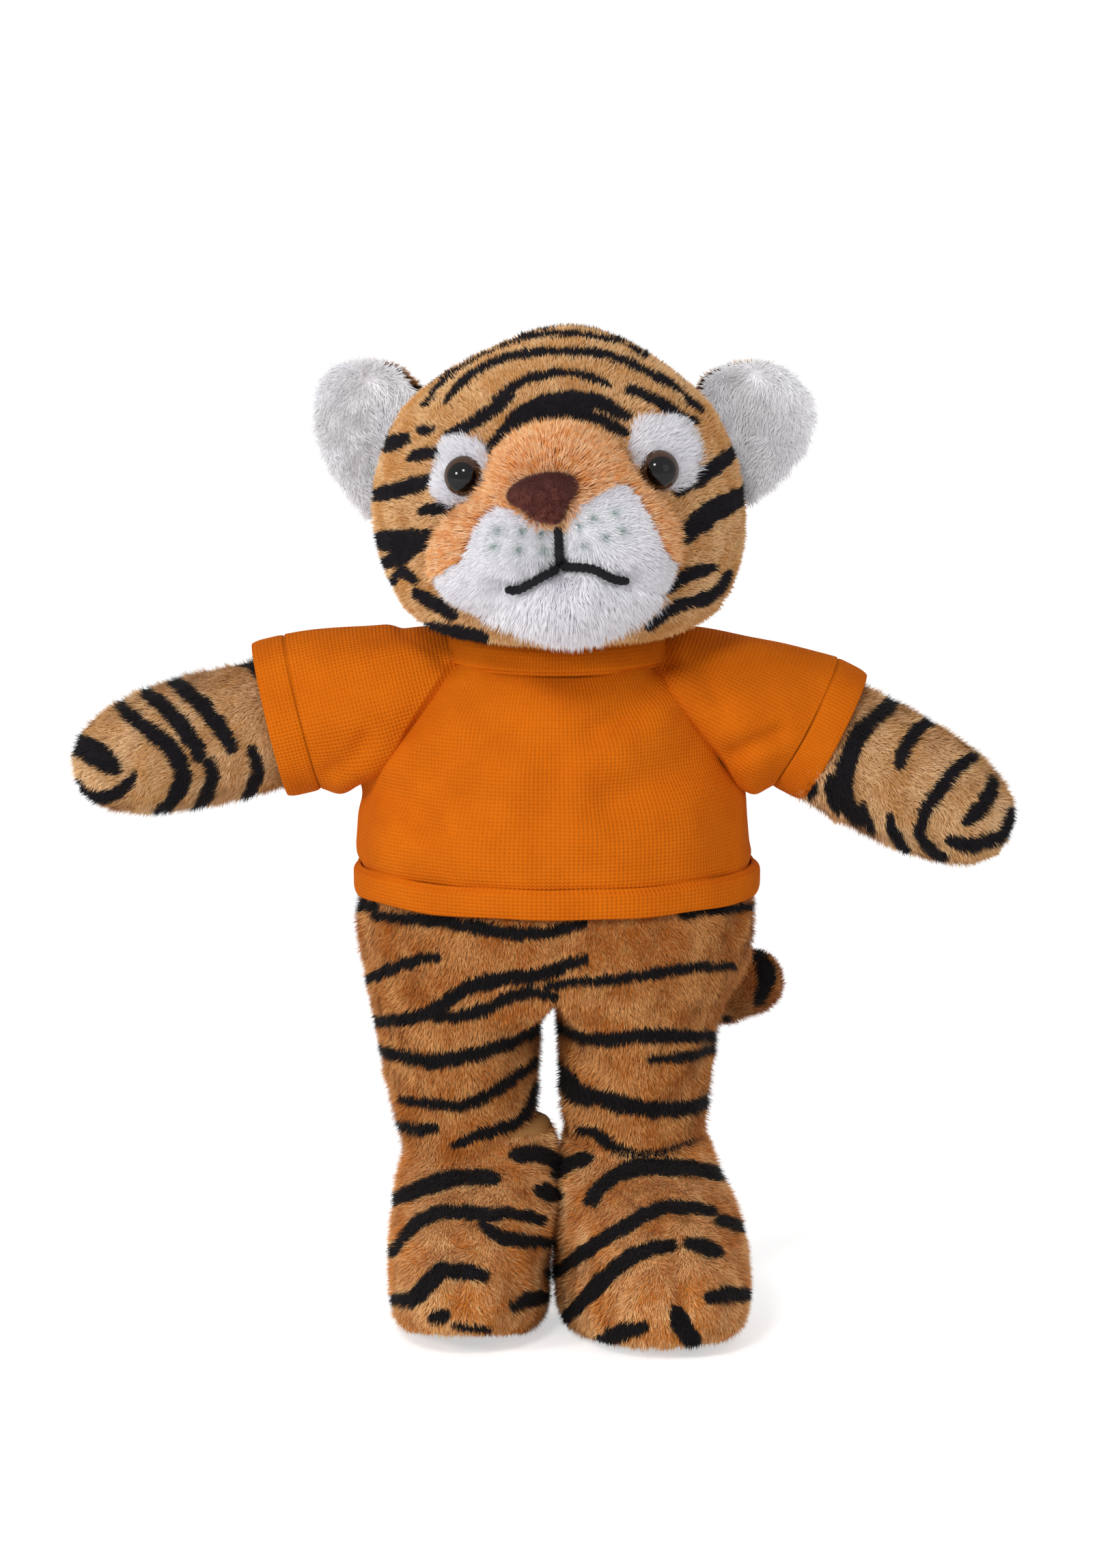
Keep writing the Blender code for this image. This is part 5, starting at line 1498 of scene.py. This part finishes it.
def knit_map(thing, axis_at=None):
    """A UV map in mm: the way round the piece's middle line, and the height or the length."""
    mesh, p = thing.data, points_of(thing) - toy_middle
    if axis_at is None:
        turn, along, radius = np.arctan2(p[:, 0], -p[:, 1] * 1.4), p[:, 2], 38.0
    else:
        pivot, ahead, up = axis_at
        q = p - pivot
        turn, along, radius = np.arctan2(q @ up, -q[:, 1]), q @ ahead, 17.0
    index = np.empty(len(mesh.loops), np.int32)
    mesh.loops.foreach_get("vertex_index", index)
    turn = turn[index].reshape(-1, 4)
    turn = np.where(turn.max(1, keepdims=True) - turn > math.pi, turn + 2 * math.pi, turn)
    uv = np.stack([turn.ravel() * radius, along[index]], axis=1)
    layer = mesh.uv_layers.new(name="knit")
    layer.uv.foreach_set("vector", uv.astype(np.float32).ravel())


# %% [markdown]
# ## The shirt's body
#
# The shirt lies close on the stuffed chest, with soft folds that run from the armpits. A cloth
# simulation would find them, but not the ones in the picture. So the folds are pressed in along
# lines read from it, each a rounded ridge beside a hollow.

# %% Shirt body
shirt_half = by_height([
    (90, 42.9), (97.7, 42.9), (104, 42.9), (111, 42.1), (119, 41.1), (127, 39.2), (134, 37.0),
    (140, 34.8), (145, 31.0), (148.5, 26.5), (151, 22.5), (153, 19),
])
shirt_depth_share = 0.70
fold_heights = (1.9, -1.8, -1.7, 1.5, -1.7, -0.8, 1.0, -2.2, -1.3, -1.4, -1.5, -0.9, 1.0)
fold_lines = strokes_from(500, 900, 2.53, [
    (90, [(75, 590), (180, 540), (300, 470), (420, 420)]),
    (60, [(85, 650), (180, 660), (260, 720), (330, 800)]),
    (60, [(1185, 190), (1130, 280), (1050, 350), (940, 440)]),
    (90, [(1250, 260), (1180, 400), (1060, 480), (900, 560)]),
    (80, [(1440, 540), (1300, 560), (1150, 620), (1000, 700)]),
    (60, [(390, 170), (330, 300), (250, 420)]),
    (110, [(200, 850), (500, 900), (900, 880), (1300, 840)]),
    (45, [(1186, 135), (1196, 170)]),
    (40, [(230, 50), (330, 110), (400, 175)]),
    (45, [(-40, 590), (40, 540), (90, 470)]),
    (40, [(1460, 520), (1530, 480), (1620, 440)]),
    (45, [(1290, 170), (1360, 250), (1420, 380)]),
    (80, [(420, 560), (640, 600), (820, 700), (900, 820)]),
])


def folded(points, normal):
    """The points moved along their normals by the folds: for each line, height times a Gaussian of
    the distance, less a wider and lower one, and a soft ripple everywhere."""
    x, v = picture_place(points)
    lift = 0.35 * ripple(points, 16.0, 2)
    for (line, width), height in zip(fold_lines, fold_heights):
        gap = line_distance(smooth_line(line, 16), x, v)
        ridge, hollow = np.exp(-((gap / width) ** 2)), np.exp(-((gap / width / 2) ** 2))
        lift = lift + height * (ridge - 0.5 * hollow)
    return points + normal * lift[..., None]


def grid_normal(points):
    """The outward normals of a grid, from its steps along the rings and across them."""
    p = np.concatenate([points[:, -1:], points, points[:, :1]], axis=1)
    along = (p[:, 2:] - p[:, :-2]) / 2
    return unit(np.cross(along, np.gradient(points, axis=0))) * facing(points)


def torso_ring(z, a, ease=0.0):
    """An oval of the shirt's body at a height: half width from the table, a share of it deep."""
    half = shirt_half(z) + ease
    x = half * np.cos(a) + 0.2 - 0.9 * ramp(z, 100, 107)
    return np.stack([x, shirt_depth_share * half * np.sin(a), z + 0 * a], axis=-1)


def shirt_grid(rows=130, columns=260):
    """The ovals of the shirt's body, drawn in a little where the hem's band is sewn on."""
    z = np.linspace(98.5, 152.0, rows)[:, None]
    a = around(columns)
    return torso_ring(z, a, ramp(z, 101.0, 104.5) - 1.0) + toy_middle


shirt_points = shirt_grid()
shirt_points = folded(shirt_points, grid_normal(shirt_points))
shirt_body = surface_piece("shirt_body", shirt_points, jersey)
knit_map(shirt_body)
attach(shirt_body, "torso")
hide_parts("shirt_front", "shirt_back")


def cloth_area(thing):
    """The area of a piece in square metres."""
    return sum(p.area for p in thing.data.polygons)


print("shirt body area, cm2", round(cloth_area(shirt_body) * 1e4, 1))

# %% [markdown]
# The bands are cut across the knit, folded double and sewn on: the hem, the collar and the two
# cuffs. A band's profile is a flat loop with a rounded fold at its free edge and a groove where it
# is sewn.


# %% Bands
def band_profile(width, wall, seam=0.94, groove=0.75):
    """A loop in (out, along): a strip with round edges and a stitched groove near one side."""
    s = np.linspace(0, 1, 36)
    out = wall * (0.5 - 0.5 * np.abs(2 * s - 1) ** 4) + 0.5 * wall
    out -= groove * wall * np.exp(-(((s - seam) * width / 0.6) ** 2))
    front = np.stack([out, s * width], axis=1)
    return np.vstack([[(-0.6, 0.2)], front, [(-0.6, width - 0.1)]])


a_round = around(260)
hem_width, hem_wall, hem_low = 6.6, 1.2, 95.8
hem_profile = band_profile(hem_width, hem_wall)
hem_out, hem_z = hem_profile[:, :1] - 0.3, hem_low + hem_profile[:, 1:]
hem_points = torso_ring(hem_z, a_round, hem_out) + toy_middle
hem_points[..., 2] += 0.35 * ripple(hem_points * [1, 1, 0], 22.0, 6)
hem = surface_piece("shirt_hem_band", hem_points, jersey)
knit_map(hem)
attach(hem, "torso")
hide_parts("shirt_hem")

collar_width, collar_wall, collar_low = 6.2, 1.3, 147.0
collar_profile = band_profile(collar_width, collar_wall, 0.06)
collar_out, collar_z = collar_profile[:, :1] + 0.4, collar_low + collar_profile[:, 1:]
lean = 25.0 - 0.45 * (collar_z - 147.2)
collar_points = np.stack([
    (lean + collar_out) * np.cos(a_round), 0.80 * (lean + collar_out) * np.sin(a_round) - 0.5,
    collar_z + 0 * a_round,
], axis=-1) + toy_middle
collar = surface_piece("shirt_collar_band", collar_points, jersey)
knit_map(collar)
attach(collar, "torso")
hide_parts("shirt_collar")

# %% [markdown]
# ## Sleeves
#
# Raglan sleeves are sewn on along a slanting seam from the armpit to the collar. Each runs from the
# oval where that slanting plane cuts the shirt's body to the round of the cuff.

# %% Sleeves
cuff_half = {"right": 16.8, "left": 15.1}
cuff_ahead, cuff_up = ways_along({"right": math.radians(13.5), "left": math.radians(27.5)})
cuff_depth_share = 0.88
cuff_width, cuff_wall, cuff_end = 8.0, 0.9, 24.4
cuff_lift = {"right": 1.0, "left": 1.5}
sleeve_end = 17.0
armpit_height = {"right": 122.0, "left": 121.0}
shoulder_height = {"right": 151.9, "left": 153.9}


def raglan_loop(side, a):
    """The oval where the slanting plane cuts the shirt's body: q runs from the armpit to the
    collar."""
    sign = out_way[side]
    q = (1 - np.cos(a)) / 2
    x = 39.0 - 22.0 * q
    z = armpit_height[side] * (1 - q) + shoulder_height[side] * q
    half = shirt_half(z)
    deep = shirt_depth_share * half * np.sqrt(np.clip(1 - (x / half) ** 2, 0.0, 1))
    deep = deep * np.where(q > 0.9, np.sqrt(np.clip(1 - ((q - 0.9) / 0.1) ** 2, 0, 1)), 1)
    return np.stack([sign * x - 0.7, -deep * np.sign(np.sin(a) + 1e-9), z], axis=-1)


def cuff_ring(side, t, r, a):
    """A round of the arm at a length t: a = 0 is below and a = pi above."""
    up = -np.cos(a) * r
    return (
        arm_pivot[side] + cuff_ahead[side] * t + cuff_up[side] * (up + cuff_lift[side])[..., None]
        + np.array([0, -1, 0]) * (cuff_depth_share * r * np.sin(a))[..., None]
    )


def sleeve_grid(side, rows=70, columns=160):
    """Straight lines from the raglan oval to the cuff, swollen by a half sine in between. They
    start a little inside the shirt's body, which leaves the crease of the seam."""
    a = around(columns)
    first = raglan_loop(side, a)
    last = cuff_ring(side, sleeve_end, cuff_half[side], a)
    s = np.linspace(0, 1, rows)[:, None, None]
    grid = first * (1 - s) + last * s
    axis = first.mean(axis=0) * (1 - s) + last.mean(axis=0) * s
    swell = 1.6 * np.sin(math.pi * s) + 1.5 * ramp(s, 0, 0.09) - 1.1
    return grid + unit(grid - axis) * swell + toy_middle


for side in out_way:
    grid = sleeve_grid(side)
    grid = folded(grid, grid_normal(grid))
    sleeve = surface_piece("shirt_sleeve_cloth_" + side, grid, jersey)
    frame_of_arm = (arm_pivot[side], arm_ahead[side], arm_up[side])
    knit_map(sleeve, frame_of_arm)
    sign = out_way[side]
    print("sleeve area, cm2", round(cloth_area(sleeve) * 1e4, 1))
    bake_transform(sleeve)
    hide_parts("shirt_sleeve_" + side)

    profile = band_profile(cuff_width, cuff_wall, groove=0.4)
    t, r = cuff_end - profile[:, 1:], cuff_half[side] + profile[:, :1] - 0.4
    a = around(160)
    ring = cuff_ring(side, t[..., None], r, a) + toy_middle
    cuff = surface_piece("shirt_cuff_band_" + side, ring, jersey)
    knit_map(cuff, frame_of_arm)
    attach(cuff, "arm_" + side)
    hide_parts("shirt_cuff_" + side)

# %% [markdown]
# ## Stage
#
# A plain pale floor and soft light from all round, brighter from above in front, as in a product
# picture. What the camera sees behind is white.

# %% Floor, light and background
floor_glow = 0.54
light_from_all_round = 0.50
light_target = Vector((0.0, 0.0, 0.12))


def seen_ray(tree):
    """1 for what the camera sees, straight, in a reflection or through glass, and 0 for other
    light."""
    path = add_node(tree, "ShaderNodeLightPath")
    straight = path.outputs["Is Camera Ray"]
    for name in ("Is Glossy Ray", "Is Transmission Ray"):
        straight = reckon(tree, "MAXIMUM", straight, path.outputs[name])
    return straight


bpy.ops.mesh.primitive_plane_add(size=6, location=(0, 0, 0))
floor = bpy.context.object
floor.name = "floor"
floor_material, tree, shader = new_material(
    "pale paper floor", Base_Color=linear("#F6F6F6"), Roughness=0.9, Specular_IOR_Level=0.1,
    Emission_Color=(1, 1, 1, 1),
)
glow = reckon(tree, "MULTIPLY", seen_ray(tree), floor_glow)
tree.links.new(glow, shader.inputs["Emission Strength"])
floor.data.materials.append(floor_material)

world = bpy.data.worlds.new("studio")
bpy.context.scene.world = world
world.use_nodes = True
tree = world.node_tree
level = ranged(tree, seen_ray(tree), To_Min=light_from_all_round, To_Max=1.0)
tree.nodes["Background"].inputs["Color"].default_value = (1, 1, 1, 1)
tree.links.new(level, tree.nodes["Background"].inputs["Strength"])


def area_light(name, place, size, power):
    """A square soft light that looks at the toy's middle."""
    data = bpy.data.lights.new(name, "AREA")
    data.size, data.energy = size, power
    light = bpy.data.objects.new(name, data)
    bpy.context.scene.collection.objects.link(light)
    light.location = place
    light.rotation_euler = (light_target - Vector(place)).to_track_quat("-Z", "Y").to_euler()


area_light("key left half", (-1.05, -0.90, 0.62), 0.24, 6.0)
area_light("key right half", (-0.30, -1.15, 1.05), 0.24, 6.6)
area_light("fill", (0.8, -0.8, 0.5), 0.6, 0.8)
bpy.context.scene.view_settings.view_transform = "Standard"
